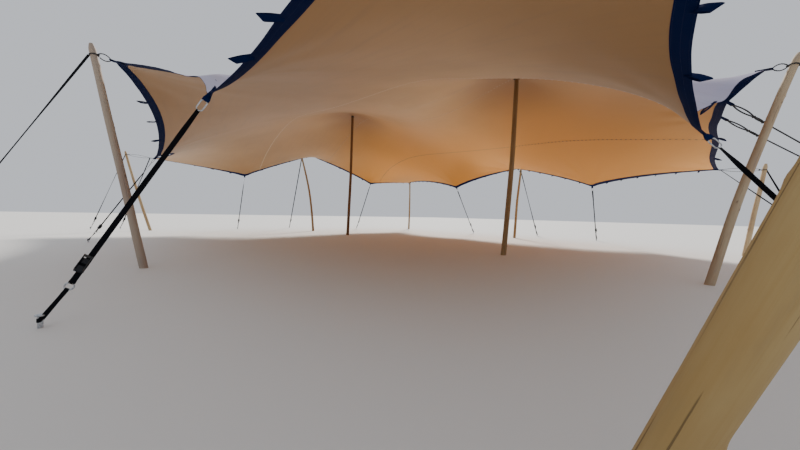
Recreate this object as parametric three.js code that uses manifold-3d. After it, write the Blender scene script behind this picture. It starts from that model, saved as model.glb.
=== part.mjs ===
// Freeform stretch tent: one tensioned fabric sheet, held up by wooden poles and tied down to stakes.
// Millimetres, +Z up, level ground at z = 0. The origin is on the ground, midway between the outermost stakes.
// South is -Y, east is +X. The fabric's long way runs along X.

import * as THREE from 'three';
import { mergeVertices } from 'three/addons/utils/BufferGeometryUtils.js';
import Module from 'manifold-3d';

const wasm = await Module();
wasm.setup();

// Flat cut of the fabric, and the grid that its stretched shape is worked out on
const cutLength = 15000;
const cutWidth = 10500;
const stepsLong = 60;
const stepsWide = 40;
const seamSteps = [12, 22, 32];
const halvedPanels = [3, 4];
const sheetThickness = 5;
const sheetGap = 0.5;
const settleRounds = 1500;
const overshoot = 1.9;
const firstHeight = 2500;

// Webbing band sewn round the rim, with its loops
const bandWidth = 130;
const loopEvery = 2;
const loopPhase = { south: 0.4, west: 0.4, north: 0.4, east: 0.6 };
const loopsClearOfTie = 1.5;
const loopSize = [150, 75, 8];
const loopInside = 25;

// Tongue of folded webbing at each point that is tied
const tongueSize = [100, 60, 10];
const tongueInside = 40;
const tabLength = 45;

// What holds the sheet's middle up
const headRadius = 75;
const headDrop = 62;
const headSkirt = 30;
const headClearance = 3.9;
const headShares = { seat: 0.8, shoulder: 0.6, peak: 0.06 };
const nearestPull = 140;
const shiftReach = 3200;

// Poles: radius at the foot and at the top, and the sides of their outline
const rimPoleRadius = [56, 43];
const innerPoleRadius = [62, 50];
const poleSides = 10;
const poleStations = 8;
const tipLength = 90;
const tipShare = 0.5;

// Ropes, webbing straps, ratchets and rings
const ropeRadius = 7;
const ropeSides = 6;
const strapSize = [50, 4];
const linkRadius = 26;
const linkStraight = 64;
const linkBar = 6;
const hookRadius = 33;
const hookBar = 7;
const ringSides = 8;
const ringBarSides = 4;
const slingBar = 6;
const collarBelowTop = 170;
const collarBar = 8;
const ratchetFromStake = 480;
const ratchetBody = [170, 62, 34];
const ratchetHandle = [190, 46, 12];
const ratchetHandleSet = 30;
const ratchetSink = 2;
const hookFromStake = 250;

// Stakes, as far as they stand out of the ground
const stakeSides = 8;
const stakeRadius = 16;
const stakeHeight = 120;
const stakeHeadRadius = 30;
const stakeHeadHeight = 14;
const stakeRingHeight = 58;
const stakeRingSpacing = 24;
const stakeHeadSink = 1;

const gap = 0.3;
const ringGap = 0.4;

// The rim's tied points, walked round from the south-east corner: south, west, north, east.
// step counts grid steps round the rim. pull is how many millimetres' width of fabric the
// rim's webbing pulls like, from this point to the next.
const rim = [
  { name: 'south_east', step: 0, at: [8360, -5190, 2900], pull: 2600 },
  { name: 'south_right', step: 12, at: [4480, -5480, 1990], pull: 6000 },
  { name: 'south', step: 24, at: [1670, -6420, 3090], pull: 8000 },
  { name: 'south_left', step: 38, at: [-2530, -6060, 2310], pull: 8000 },
  { name: 'south_west', step: 60, at: [-9120, -6420, 3140], pull: 8000 },
  { name: 'west_right', step: 70, at: [-7740, -2990, 2560], pull: 8000 },
  { name: 'west', step: 80, at: [-7330, 10, 3840], pull: 8000 },
  { name: 'west_left', step: 90, at: [-7140, 3520, 2650], pull: 8000 },
  { name: 'north_west', step: 100, at: [-7570, 6730, 3000], pull: 8000 },
  { name: 'north_right', step: 122, at: [-2450, 5680, 2300], pull: 8000 },
  { name: 'north', step: 134, at: [360, 6550, 3050], pull: 8000 },
  { name: 'north_left', step: 146, at: [3280, 6740, 2100], pull: 8000 },
  { name: 'north_east', step: 160, at: [6640, 5690, 2250], pull: 8000 },
  { name: 'east_far', step: 172, at: [7030, 2260, 2790], pull: 8000 },
  { name: 'east_near', step: 174, at: [7150, 1600, 2880], pull: 8000 },
  { name: 'east', step: 178, at: [7550, 1020, 3100], pull: 5000 },
  { name: 'east_left', step: 188, at: [7280, -1670, 1750], pull: 3200 },
];

// Inner poles. soft is the radius over which the fabric rounds over the head.
const innerPoles = [
  { name: 'east', long: 46, wide: 22, foot: [3670, 520], top: [3810, 710, 4220], soft: 1400, bow: [50, -20] },
  { name: 'west', long: 18, wide: 20, foot: [-3610, 240], top: [-3550, 330, 5040], soft: 1900, bow: [-15, 30] },
];

// Rim poles lean outwards. Each carries the rim point of its name, and is stayed to its own stake.
const rimPoles = [
  { name: 'south_east', foot: [7500, -4830], top: [8700, -5250, 3250], stake: [10680, -5780], bow: [-20, 20] },
  { name: 'south', foot: [1680, -6060], top: [1510, -6710, 3330], stake: [1480, -8220], bow: [25, 0] },
  { name: 'south_west', foot: [-9100, -6390], top: [-9800, -7310, 3420], stake: [-10680, -8450], bow: [25, -25] },
  { name: 'west', foot: [-6730, -40], top: [-8040, -260, 3950], stake: [-9900, -220], bow: [30, 110] },
  { name: 'north_west', foot: [-7070, 6410], top: [-7800, 7020, 3100], stake: [-9210, 8210], bow: [15, 15] },
  { name: 'north', foot: [580, 6020], top: [310, 6900, 3120], stake: [310, 8450], bow: [-30, 0] },
  { name: 'north_east', foot: [7080, 6270], top: [7400, 6510, 2420], stake: [8280, 7490], bow: [0, -20] },
  { name: 'east', foot: [7110, 320], top: [7850, 1030, 3230], stake: [9510, 1120], bow: [-45, 45] },
];

// Straps with a ratchet from a rim point to a stake
const tieStakes = {
  south_right: [4350, -6520],
  south_left: [-3610, -7460],
  west_right: [-9370, -2980],
  west_left: [-8750, 3570],
  north_right: [-2450, 7080],
  north_left: [3010, 8020],
  east_left: [8460, -1620],
};

// A second strap from a corner that has a pole, past the pole to a stake beside the pole's own
const cornerStakes = {
  south_west: [-10680, -7500],
  north_east: [8750, 6600],
};

// Two ropes on the east side share one stake
const sideRopes = ['east_near', 'east_far'];
const sideRopeStake = [10140, 4170];

const colours = {
  fabric: { color: 0xb98f68, roughness: 0.55, metalness: 0 },
  band: { color: 0x15161d, roughness: 0.8, metalness: 0 },
  wood: { color: 0xc79a5e, roughness: 0.7, metalness: 0 },
  rubber: { color: 0x2b2622, roughness: 0.85, metalness: 0 },
  strap: { color: 0x14151a, roughness: 0.75, metalness: 0 },
  steel: { color: 0xb8bcc0, roughness: 0.35, metalness: 0.9 },
};

const tent = new THREE.Group();
const up = new THREE.Vector3(0, 0, 1);
const point = (list) => new THREE.Vector3(list[0], list[1], list[2] ?? 0);

function addMesh(name, geometry, look) {
  const mesh = new THREE.Mesh(geometry, new THREE.MeshStandardMaterial(colours[look]));
  mesh.name = name;
  tent.add(mesh);
}

// Closed bodies from points and triangles

function bodyFrom(points, triangles) {
  const body = new THREE.BufferGeometry();
  body.setAttribute('position', new THREE.Float32BufferAttribute(points.flatMap((p) => [p.x, p.y, p.z]), 3));
  body.setIndex(triangles);
  body.computeVertexNormals();
  return body;
}

// A closed body through rings of equal point count, each ring counter-clockwise as seen from the last one
function loft(rings) {
  const sides = rings[0].length;
  const last = (rings.length - 1) * sides;
  const triangles = [];
  for (let r = 0; r + 1 < rings.length; r++) {
    for (let k = 0; k < sides; k++) {
      const a = r * sides + k;
      const b = r * sides + (k + 1) % sides;
      triangles.push(a, b, b + sides, a, b + sides, a + sides);
    }
  }
  for (let k = 1; k + 1 < sides; k++) {
    triangles.push(0, k + 1, k);
    triangles.push(last, last + k, last + k + 1);
  }
  return bodyFrom(rings.flat(), triangles);
}

// Two directions across an axis, the same for every ring on a pole so that rings line up
function across(axis) {
  const first = new THREE.Vector3(0, 1, 0).cross(axis).normalize();
  return [first, axis.clone().cross(first)];
}

function circle(centre, axis, radius, sides) {
  const [first, second] = across(axis);
  return Array.from({ length: sides }, (_, k) => {
    const turn = (2 * Math.PI * k) / sides;
    return centre.clone()
      .addScaledVector(first, radius * Math.cos(turn))
      .addScaledVector(second, radius * Math.sin(turn));
  });
}

function rod(from, to, radius, sides) {
  const axis = to.clone().sub(from).normalize();
  return loft([circle(from, axis, radius, sides), circle(to, axis, radius, sides)]);
}

// A ring about an axis. Its first corner lies towards start, or in step with a round bar about the same axis.
function ring(centre, axis, radius, thickness, sides, start = across(axis)[0]) {
  const body = new THREE.TorusGeometry(radius, thickness, ringBarSides, sides);
  const place = new THREE.Matrix4().makeBasis(start, axis.clone().cross(start), axis);
  return body.applyMatrix4(place.setPosition(centre));
}

// A ring drawn apart along one direction, so that it has two straight sides
function oblong(centre, axis, lengthwise, straight) {
  const body = new THREE.TorusGeometry(linkRadius, linkBar, ringBarSides, ringSides);
  const places = body.getAttribute('position');
  for (let k = 0; k < places.count; k++) {
    const half = Math.round(places.getX(k)) === 0 ? 0 : Math.sign(places.getX(k));
    places.setX(k, places.getX(k) + (half * straight) / 2);
  }
  const place = new THREE.Matrix4().makeBasis(lengthwise, axis.clone().cross(lengthwise), axis);
  return body.applyMatrix4(place.setPosition(centre));
}

// A box with its length along one direction and its width as level as possible
function bar(from, to, width, thickness) {
  const along = to.clone().sub(from);
  const length = along.length();
  along.normalize();
  const level = up.clone().cross(along).normalize();
  const face = along.clone().cross(level);
  const body = new THREE.BoxGeometry(length, width, thickness);
  const place = new THREE.Matrix4().makeBasis(along, level, face);
  place.setPosition(from.clone().add(to).multiplyScalar(0.5));
  return body.applyMatrix4(place);
}

// Joins that leave one closed body

function toSolid(geometry) {
  const plain = new THREE.BufferGeometry();
  plain.setAttribute('position', geometry.getAttribute('position'));
  plain.setIndex(geometry.getIndex());
  const merged = mergeVertices(plain, 0.001);
  return new wasm.Manifold(new wasm.Mesh({
    numProp: 3,
    vertProperties: Float32Array.from(merged.getAttribute('position').array),
    triVerts: Uint32Array.from(merged.getIndex().array),
  }));
}

function join(geometries) {
  const whole = geometries.map(toSolid).reduce((all, next) => all.add(next));
  const mesh = whole.getMesh();
  const body = new THREE.BufferGeometry();
  body.setAttribute('position', new THREE.BufferAttribute(Float32Array.from(mesh.vertProperties), 3));
  body.setIndex(new THREE.BufferAttribute(Uint32Array.from(mesh.triVerts), 1));
  body.computeVertexNormals();
  return body;
}

// Wooden poles: a slightly bowed, tapering trunk, cut level at the foot

function poleLine(foot, top, bow) {
  const side = point(bow);
  return (share) => foot.clone().lerp(top, share).addScaledVector(side, Math.sin(Math.PI * share));
}

function poleRadius(radii, share) {
  return THREE.MathUtils.lerp(radii[0], radii[1], share);
}

// With a tip the trunk ends in a blunt point, and without one it ends level
function trunk(foot, top, bow, radii, tip) {
  const line = poleLine(foot, top, bow);
  const axis = top.clone().sub(foot).normalize();
  const tipStart = 1 - tip / top.distanceTo(foot);
  const rings = [];
  for (let k = 0; k <= poleStations; k++) {
    const share = (k / poleStations) * tipStart;
    rings.push(circle(line(share), axis, poleRadius(radii, share), poleSides));
  }
  const cutLevel = (cut, height) => cut.map((p) => p.addScaledVector(axis, (height - p.z) / axis.z));
  rings[0] = cutLevel(rings[0], foot.z);
  if (tip > 0) rings.push(circle(top, axis, radii[1] * tipShare, poleSides));
  else rings[poleStations] = cutLevel(rings[poleStations], top.z);
  return loft(rings);
}

// The stretched sheet. Every grid point is pulled by its neighbours, the rim's webbing pulls harder
// than the cloth, and the tied points and pole heads stay where they are.

const columns = stepsLong + 1;
const rows = stepsWide + 1;
const cell = (i, j) => i * rows + j;
const longStep = cutLength / stepsLong;
const wideStep = cutWidth / stepsWide;
const stepsRound = 2 * (stepsLong + stepsWide);

// Grid place of a step round the rim, from the south-east corner
function rimCell(step) {
  const round = step % stepsRound;
  if (round <= stepsLong) return [stepsLong - round, 0];
  if (round <= stepsLong + stepsWide) return [0, round - stepsLong];
  if (round <= 2 * stepsLong + stepsWide) return [round - stepsLong - stepsWide, stepsWide];
  return [stepsLong, stepsRound - round];
}

function rimPull(step) {
  return rim.findLast((p) => p.step <= step).pull;
}

// How hard the cloth pulls near a pole head, against elsewhere
function headStiffness(i, j) {
  return innerPoles.reduce((sum, pole) => {
    const away = Math.hypot((i - pole.long) * longStep, (j - pole.wide) * wideStep);
    return sum + (pole.soft / Math.max(away, nearestPull)) ** 2;
  }, 1);
}

// Links of the grid: for every point, its neighbours with their pull in plan and in height
function gridLinks() {
  const links = Array.from({ length: columns * rows }, () => []);
  const connect = (a, b, plan, height) => {
    links[a].push({ other: b, plan, height });
    links[b].push({ other: a, plan, height });
  };
  const rimShare = (at, end) => (at === 0 || at === end ? 0.5 : 1);
  for (let i = 0; i < columns; i++) {
    for (let j = 0; j < rows; j++) {
      if (i < stepsLong) {
        const cloth = (wideStep / longStep) * rimShare(j, stepsWide);
        connect(cell(i, j), cell(i + 1, j), cloth, cloth * headStiffness(i + 0.5, j));
      }
      if (j < stepsWide) {
        const cloth = (longStep / wideStep) * rimShare(i, stepsLong);
        connect(cell(i, j), cell(i, j + 1), cloth, cloth * headStiffness(i, j + 0.5));
      }
    }
  }
  for (let step = 0; step < stepsRound; step++) {
    const [i, j] = rimCell(step);
    const [m, n] = rimCell(step + 1);
    const webbing = rimPull(step) / (i === m ? wideStep : longStep);
    connect(cell(i, j), cell(m, n), webbing, webbing);
  }
  return links;
}

// Moves the free points along the given axes until each one rests between its neighbours
function settle(points, held, links, axes, pull) {
  for (let round = 0; round < settleRounds; round++) {
    for (let index = 0; index < points.length; index++) {
      if (held.has(index)) continue;
      for (const axis of axes) {
        let sum = 0;
        let total = 0;
        for (const link of links[index]) {
          sum += points[link.other][axis] * link[pull];
          total += link[pull];
        }
        points[index][axis] += overshoot * (sum / total - points[index][axis]);
      }
    }
  }
}

// Slides the cloth round a pole until its grid point stands over the pole head
function slideOver(pole, points) {
  const natural = points[cell(pole.long, pole.wide)].clone();
  const shift = point(pole.top).sub(natural);
  for (let i = 0; i < columns; i++) {
    for (let j = 0; j < rows; j++) {
      const away = Math.hypot((i - pole.long) * longStep, (j - pole.wide) * wideStep) / shiftReach;
      if (away >= 1) continue;
      const share = (1 - away ** 2) ** 2;
      points[cell(i, j)].x += shift.x * share;
      points[cell(i, j)].y += shift.y * share;
    }
  }
}

function stretchedSheet() {
  const links = gridLinks();
  const points = links.map(() => new THREE.Vector3(0, 0, firstHeight));
  const held = new Set();
  for (const p of rim) {
    const index = cell(...rimCell(p.step));
    points[index].copy(point(p.at));
    held.add(index);
  }
  settle(points, held, links, ['x', 'y'], 'plan');
  for (const pole of innerPoles) {
    slideOver(pole, points);
    const index = cell(pole.long, pole.wide);
    points[index].copy(point(pole.top));
    held.add(index);
  }
  settle(points, held, links, ['z'], 'height');
  return points;
}

// The point at a distance along a line of points
function along(line, distance) {
  let left = distance;
  for (let k = 0; k + 1 < line.length; k++) {
    const piece = line[k].distanceTo(line[k + 1]);
    if (left <= piece) return line[k].clone().lerp(line[k + 1], left / piece);
    left -= piece;
  }
  return line.at(-1).clone();
}

// Every second point of a line, with the band's inner edge added at both ends
function withBandEdges(line) {
  const inner = line.filter((_, k) => k % 2 === 0).slice(1, -1);
  const back = [...line].reverse();
  return [line[0], along(line, bandWidth), ...inner, along(back, bandWidth), line.at(-1)];
}

const sheet = stretchedSheet();
const wideLines = Array.from({ length: columns }, (_, i) =>
  withBandEdges(Array.from({ length: rows }, (_, j) => sheet[cell(i, j)])));
const surface = wideLines[0].map((_, line) => withBandEdges(wideLines.map((points) => points[line])));
const lastLong = surface[0].length - 1;
const lastWide = surface.length - 1;
const spot = (i, j) => surface[j][i];
const lineOf = (step) => step / 2 + 1;
const middleLine = lineOf(stepsLong / 2);

// Normal of the sheet at a surface point, always upwards
function sheetNormal(i, j) {
  const alongX = spot(Math.min(i + 1, lastLong), j).clone().sub(spot(Math.max(i - 1, 0), j));
  const alongY = spot(i, Math.min(j + 1, lastWide)).clone().sub(spot(i, Math.max(j - 1, 0)));
  return alongX.cross(alongY).normalize();
}

// A patch of the sheet as a thin closed body, drawn back a little from its neighbours
function patch(fromLong, toLong, fromWide, toWide) {
  const wide = toWide - fromWide + 1;
  const long = toLong - fromLong + 1;
  const top = [];
  const bottom = [];
  for (let i = fromLong; i <= toLong; i++) {
    for (let j = fromWide; j <= toWide; j++) {
      const place = spot(i, j).clone();
      const inI = i === fromLong && i > 0 ? i + 1 : i === toLong && i < lastLong ? i - 1 : i;
      const inJ = j === fromWide && j > 0 ? j + 1 : j === toWide && j < lastWide ? j - 1 : j;
      if (inI !== i) place.addScaledVector(spot(inI, j).clone().sub(spot(i, j)).normalize(), sheetGap / 2);
      if (inJ !== j) place.addScaledVector(spot(i, inJ).clone().sub(spot(i, j)).normalize(), sheetGap / 2);
      const normal = sheetNormal(i, j);
      top.push(place.clone().addScaledVector(normal, sheetThickness / 2));
      bottom.push(place.clone().addScaledVector(normal, -sheetThickness / 2));
    }
  }
  const under = top.length;
  const triangles = [];
  const quad = (a, b, c, d) => triangles.push(a, b, c, a, c, d);
  for (let i = 0; i + 1 < long; i++) {
    for (let j = 0; j + 1 < wide; j++) {
      const a = i * wide + j;
      quad(a, a + wide, a + wide + 1, a + 1);
      quad(under + a, under + a + 1, under + a + wide + 1, under + a + wide);
    }
  }
  // Every wall is split the same way, so that the walls of two neighbours stay parallel where they twist
  const wall = (a, b, outwards) => {
    if (outwards) triangles.push(a, under + b, b, a, under + a, under + b);
    else triangles.push(a, b, under + b, a, under + b, under + a);
  };
  for (let i = 0; i + 1 < long; i++) {
    wall(i * wide, (i + 1) * wide, true);
    wall((i + 1) * wide - 1, (i + 2) * wide - 1, false);
  }
  for (let j = 0; j + 1 < wide; j++) {
    wall(j, j + 1, false);
    wall((long - 1) * wide + j, (long - 1) * wide + j + 1, true);
  }
  return bodyFrom([...top, ...bottom], triangles);
}

// Panels are welded side by side, from the south band to the north one. Two of them are in halves,
// so that their collision pieces lie closer to the sheet.
function addPanels() {
  const lines = [1, ...seamSteps.map(lineOf), lastWide - 1];
  for (let n = 0; n + 1 < lines.length; n++) {
    const name = `canopy_panel_${n + 1}`;
    const wide = [lines[n], lines[n + 1]];
    if (halvedPanels.includes(n + 1)) {
      addMesh(`${name}_west`, patch(1, middleLine, ...wide), 'fabric');
      addMesh(`${name}_east`, patch(middleLine, lastLong - 1, ...wide), 'fabric');
    } else {
      addMesh(name, patch(1, lastLong - 1, ...wide), 'fabric');
    }
  }
}

// Grid point of the rim, and its neighbour one step into the sheet
function rimEdge(step) {
  const [i, j] = rimCell(step);
  const inwardI = i === 0 ? 1 : i === stepsLong ? i - 1 : i;
  const inwardJ = j === 0 ? 1 : j === stepsWide ? j - 1 : j;
  return { place: sheet[cell(i, j)], inward: sheet[cell(inwardI, inwardJ)] };
}

// A place between two rim points, with its outward direction and the direction to the next point
function rimSpot(step) {
  const from = rimEdge(Math.floor(step));
  const to = rimEdge(Math.floor(step) + 1);
  const share = step - Math.floor(step);
  const place = from.place.clone().lerp(to.place, share);
  const out = place.clone().sub(from.inward.clone().lerp(to.inward, share)).normalize();
  return { place, out, next: to.place.clone().sub(from.place).normalize() };
}

function webbingLoop(step) {
  const { place, out, next } = rimSpot(step);
  const flat = out.clone().cross(next).normalize();
  const side = flat.clone().cross(out);
  const body = new THREE.BoxGeometry(...loopSize);
  const placed = new THREE.Matrix4().makeBasis(out, side, flat);
  placed.setPosition(place.addScaledVector(out, loopSize[0] / 2 - loopInside));
  return body.applyMatrix4(placed);
}

// The rope collar round each rim pole, a little below its top
function collarOf(pole) {
  const foot = point(pole.foot);
  const top = point(pole.top);
  const share = 1 - collarBelowTop / top.distanceTo(foot);
  return {
    centre: poleLine(foot, top, pole.bow)(share),
    axis: top.clone().sub(foot).normalize(),
    radius: poleRadius(rimPoleRadius, share) + ringGap + collarBar,
  };
}

const collars = Object.fromEntries(rimPoles.map((pole) => [pole.name, collarOf(pole)]));

// What each rim point is pulled by: the collar on its pole, or its stake
function pullTarget(name) {
  if (collars[name]) return collars[name].centre;
  return point([...(tieStakes[name] ?? sideRopeStake), stakeRingHeight]);
}

function tongue(name) {
  const tip = point(rim.find((p) => p.name === name).at);
  const pull = pullTarget(name).clone().sub(tip).normalize();
  const inner = tip.clone().addScaledVector(pull, -tongueInside);
  return bar(inner, inner.clone().addScaledVector(pull, tongueSize[0]), tongueSize[1], tongueSize[2]);
}

function addBands() {
  const northStart = stepsLong + stepsWide;
  const northMiddle = northStart + stepsLong / 2;
  const bands = {
    south: { box: [0, lastLong, 0, 1], steps: [0, stepsLong] },
    west: { box: [0, 1, 1, lastWide - 1], steps: [stepsLong + 1, stepsLong + stepsWide - 1] },
    north_west: { box: [0, middleLine, lastWide - 1, lastWide], steps: [northStart, northMiddle] },
    north_east: { box: [middleLine, lastLong, lastWide - 1, lastWide], steps: [northMiddle, northStart + stepsLong] },
    east: { box: [lastLong - 1, lastLong, 1, lastWide - 1], steps: [2 * stepsLong + stepsWide + 1, stepsRound - 1] },
  };
  for (const [side, { box, steps }] of Object.entries(bands)) {
    const pieces = [patch(...box)];
    for (let step = steps[0] + loopPhase[side.split('_')[0]]; step < steps[1]; step += loopEvery) {
      const ties = [...rim.map((p) => p.step), stepsRound];
      if (ties.every((tied) => Math.abs(tied - step) >= loopsClearOfTie)) pieces.push(webbingLoop(step));
    }
    const tiedHere = rim.filter((p) => p.step >= steps[0] && p.step <= steps[1]);
    pieces.push(...tiedHere.map((p) => tongue(p.name)));
    addMesh(`rim_band_${side}`, join(pieces), 'band');
  }
}

function addRimPoles() {
  for (const pole of rimPoles) {
    const body = trunk(point(pole.foot), point(pole.top), pole.bow, rimPoleRadius, tipLength);
    addMesh(`pole_${pole.name}`, body, 'wood');
  }
}

// An inner pole ends flat under its head, and the head's rounded top carries the fabric
function addInnerPoles() {
  for (const pole of innerPoles) {
    const peak = point(pole.top).addScaledVector(up, -headClearance);
    const seat = peak.clone().addScaledVector(up, -headDrop - headSkirt);
    const head = [
      circle(seat, up, headRadius * headShares.seat, poleSides),
      circle(seat.clone().addScaledVector(up, headSkirt), up, headRadius, poleSides),
      circle(peak.clone().addScaledVector(up, -headDrop / 2), up, headRadius * headShares.shoulder, poleSides),
      circle(peak, up, headRadius * headShares.peak, poleSides),
    ];
    addMesh(`inner_pole_head_${pole.name}`, loft(head), 'rubber');
    const foot = point(pole.foot);
    const top = seat.addScaledVector(up, -gap);
    addMesh(`inner_pole_${pole.name}`, trunk(foot, top, pole.bow, innerPoleRadius, 0), 'wood');
  }
}

// Stakes, and everything that runs to them

function addStake(name, place) {
  const base = point(place);
  const neck = base.clone().addScaledVector(up, stakeHeight - stakeHeadHeight);
  const body = join([
    rod(base, neck.clone().addScaledVector(up, stakeHeadSink), stakeRadius, stakeSides),
    rod(neck, base.clone().addScaledVector(up, stakeHeight), stakeHeadRadius, stakeSides),
  ]);
  addMesh(`stake_${name}`, body, 'steel');
}

// From a start down to a stake: webbing, ratchet, webbing, hook ring, and a short sling round the stake
function strapToStake(start, stake) {
  const eye = point([...stake, stakeRingHeight]);
  const level = point([start.x - eye.x, start.y - eye.y]).normalize();
  const slingRadius = stakeRadius + ringGap + slingBar;
  const low = eye.clone().addScaledVector(level, slingRadius);
  const run = start.clone().sub(low).normalize();
  const at = (distance) => low.clone().addScaledVector(run, distance);
  const sideways = up.clone().cross(run).normalize();
  const face = run.clone().cross(sideways);
  const lift = face.clone().multiplyScalar(ratchetBody[2] / 2 + ratchetHandle[2] / 2 - ratchetSink);
  const handleFrom = at(ratchetFromStake + ratchetHandleSet).add(lift);
  const handleTo = at(ratchetFromStake + ratchetHandleSet + ratchetHandle[0]).add(lift);
  return [
    ring(eye, up, slingRadius, slingBar, stakeSides),
    bar(low, start, strapSize[0], strapSize[1]),
    ring(at(hookFromStake), face, hookRadius, hookBar, ringSides),
    bar(at(ratchetFromStake), at(ratchetFromStake + ratchetBody[0]), ratchetBody[1], ratchetBody[2]),
    bar(handleFrom, handleTo, ratchetHandle[1], ratchetHandle[2]),
  ];
}

// The oblong link that ends against the tongue of a rim point, and where the rope or strap leaves it
function tipLink(name) {
  const tip = point(rim.find((p) => p.name === name).at);
  const pull = pullTarget(name).clone().sub(tip).normalize();
  const half = linkStraight / 2 + linkRadius;
  const centre = tip.clone().addScaledVector(pull, tongueSize[0] - tongueInside + gap + half + linkBar);
  const level = up.clone().cross(pull).normalize();
  const body = oblong(centre, pull.clone().cross(level), pull, linkStraight);
  return { body, start: centre.clone().addScaledVector(pull, half) };
}

// A rope from the rim's link to a collar round the pole top, and a strap from the collar to the stake
function addGuys() {
  for (const pole of rimPoles) {
    const { centre, axis, radius } = collars[pole.name];
    const edgeTowards = (target) => {
      const side = target.clone().sub(centre);
      side.addScaledVector(axis, -side.dot(axis)).normalize();
      return centre.clone().addScaledVector(side, radius);
    };
    const { body, start } = tipLink(pole.name);
    const stake = point([...pole.stake, stakeRingHeight]);
    const pieces = [
      body,
      rod(start, edgeTowards(start), ropeRadius, ropeSides),
      ring(centre, axis, radius, collarBar, poleSides),
      ...strapToStake(edgeTowards(stake), pole.stake),
    ];
    addMesh(`guy_${pole.name}`, join(pieces), 'strap');
    addStake(pole.name, pole.stake);
  }
}

function addTies() {
  for (const [name, stake] of Object.entries(tieStakes)) {
    const { body, start } = tipLink(name);
    addMesh(`tie_${name}`, join([body, ...strapToStake(start, stake)]), 'strap');
    addStake(name, stake);
  }
}

// A corner strap starts flat under the corner's tongue
function addCornerStraps() {
  for (const [name, stake] of Object.entries(cornerStakes)) {
    const tip = point(rim.find((p) => p.name === name).at);
    const pull = pullTarget(name).clone().sub(tip).normalize();
    const level = up.clone().cross(pull).normalize();
    const below = level.clone().cross(pull).multiplyScalar(tongueSize[2] / 2 + gap + strapSize[1] / 2);
    const inner = tip.clone().add(below);
    const outer = inner.clone().addScaledVector(pull, tabLength);
    const pieces = [bar(inner, outer, strapSize[0], strapSize[1]), ...strapToStake(outer, stake)];
    addMesh(`corner_strap_${name}`, join(pieces), 'strap');
    addStake(`corner_${name}`, stake);
  }
}

function addSideRopes() {
  sideRopes.forEach((name, slot) => {
    const eye = point([...sideRopeStake, stakeRingHeight + slot * stakeRingSpacing]);
    const { body, start } = tipLink(name);
    const level = point([start.x - eye.x, start.y - eye.y]).normalize();
    const slingRadius = stakeRadius + ringGap + slingBar;
    const low = eye.clone().addScaledVector(level, slingRadius);
    const sling = ring(eye, up, slingRadius, slingBar, stakeSides);
    const pieces = [body, sling, rod(low, start, ropeRadius, ropeSides)];
    addMesh(`side_rope_${name}`, join(pieces), 'strap');
  });
  addStake('side_ropes', sideRopeStake);
}

addPanels();
addBands();
addRimPoles();
addInnerPoles();
addGuys();
addTies();
addCornerStraps();
addSideRopes();

export default tent;
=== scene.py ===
import math

import bpy
import numpy as np
from mathutils import Matrix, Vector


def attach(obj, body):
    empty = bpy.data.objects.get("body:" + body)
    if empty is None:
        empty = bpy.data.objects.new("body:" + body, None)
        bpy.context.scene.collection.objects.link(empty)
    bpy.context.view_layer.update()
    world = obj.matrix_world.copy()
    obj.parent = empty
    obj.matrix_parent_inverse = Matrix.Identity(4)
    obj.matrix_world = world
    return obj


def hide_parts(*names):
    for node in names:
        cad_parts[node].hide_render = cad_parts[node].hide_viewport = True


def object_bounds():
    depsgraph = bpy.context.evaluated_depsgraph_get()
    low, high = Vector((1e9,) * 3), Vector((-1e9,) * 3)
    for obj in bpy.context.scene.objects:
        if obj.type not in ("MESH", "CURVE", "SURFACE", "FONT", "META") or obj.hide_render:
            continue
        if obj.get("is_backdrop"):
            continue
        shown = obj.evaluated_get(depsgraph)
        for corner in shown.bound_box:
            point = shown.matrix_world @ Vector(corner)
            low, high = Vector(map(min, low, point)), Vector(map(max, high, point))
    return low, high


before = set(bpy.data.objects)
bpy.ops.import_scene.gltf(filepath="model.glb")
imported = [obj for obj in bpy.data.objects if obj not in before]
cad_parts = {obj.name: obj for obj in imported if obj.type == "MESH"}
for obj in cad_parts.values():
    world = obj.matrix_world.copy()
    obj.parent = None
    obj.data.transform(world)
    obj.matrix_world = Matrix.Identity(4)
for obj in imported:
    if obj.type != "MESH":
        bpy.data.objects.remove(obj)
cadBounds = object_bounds()

# Stretch tent on poles. Metres, ground at z = 0, south is -Y, east is +X, the sheet's long way along X.
up = np.array([0.0, 0.0, 1.0])


def unit(vector):
    return np.asarray(vector, float) / np.linalg.norm(vector, axis=-1, keepdims=True)


def ease(share):  # 0 to 1 with a slow start and end
    return share * share * (3 - 2 * share)


def columns(*parts):  # numbers and arrays side by side, as points
    return np.stack(np.broadcast_arrays(*parts), -1)


def travelAlong(path):  # distance from the start of a path, at each of its points
    return np.concatenate([[0], np.cumsum(np.linalg.norm(np.diff(path, axis=0), axis=1))])


def turnsOf(count):
    return np.arange(count) * 2 * math.pi / count


def waysRound(first, second, turns):  # directions that turn from the first one to the second
    return np.cos(turns)[:, None] * first + np.sin(turns)[:, None] * second


def stand(name, data, place, axes):  # a camera or lamp in the scene, turned to three axes
    thing = bpy.data.objects.new(name, data)
    matrix = np.eye(4)
    matrix[:3, :3] = unit(axes).T
    matrix[:3, 3] = place
    thing.matrix_world = Matrix(matrix.tolist())
    bpy.context.scene.collection.objects.link(thing)
    return thing


photo = {
    "width": 800, "eye": (7.793, -5.763, 0.910), "forward": (-0.7924, 0.61, 0), "right": (0.61, 0.7924, 0),
    "roll": 0.02, "lens": 13.5, "filmWidth": 36, "horizonAboveCentre": 10.5, "nearClip": 0.05,
}


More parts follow.
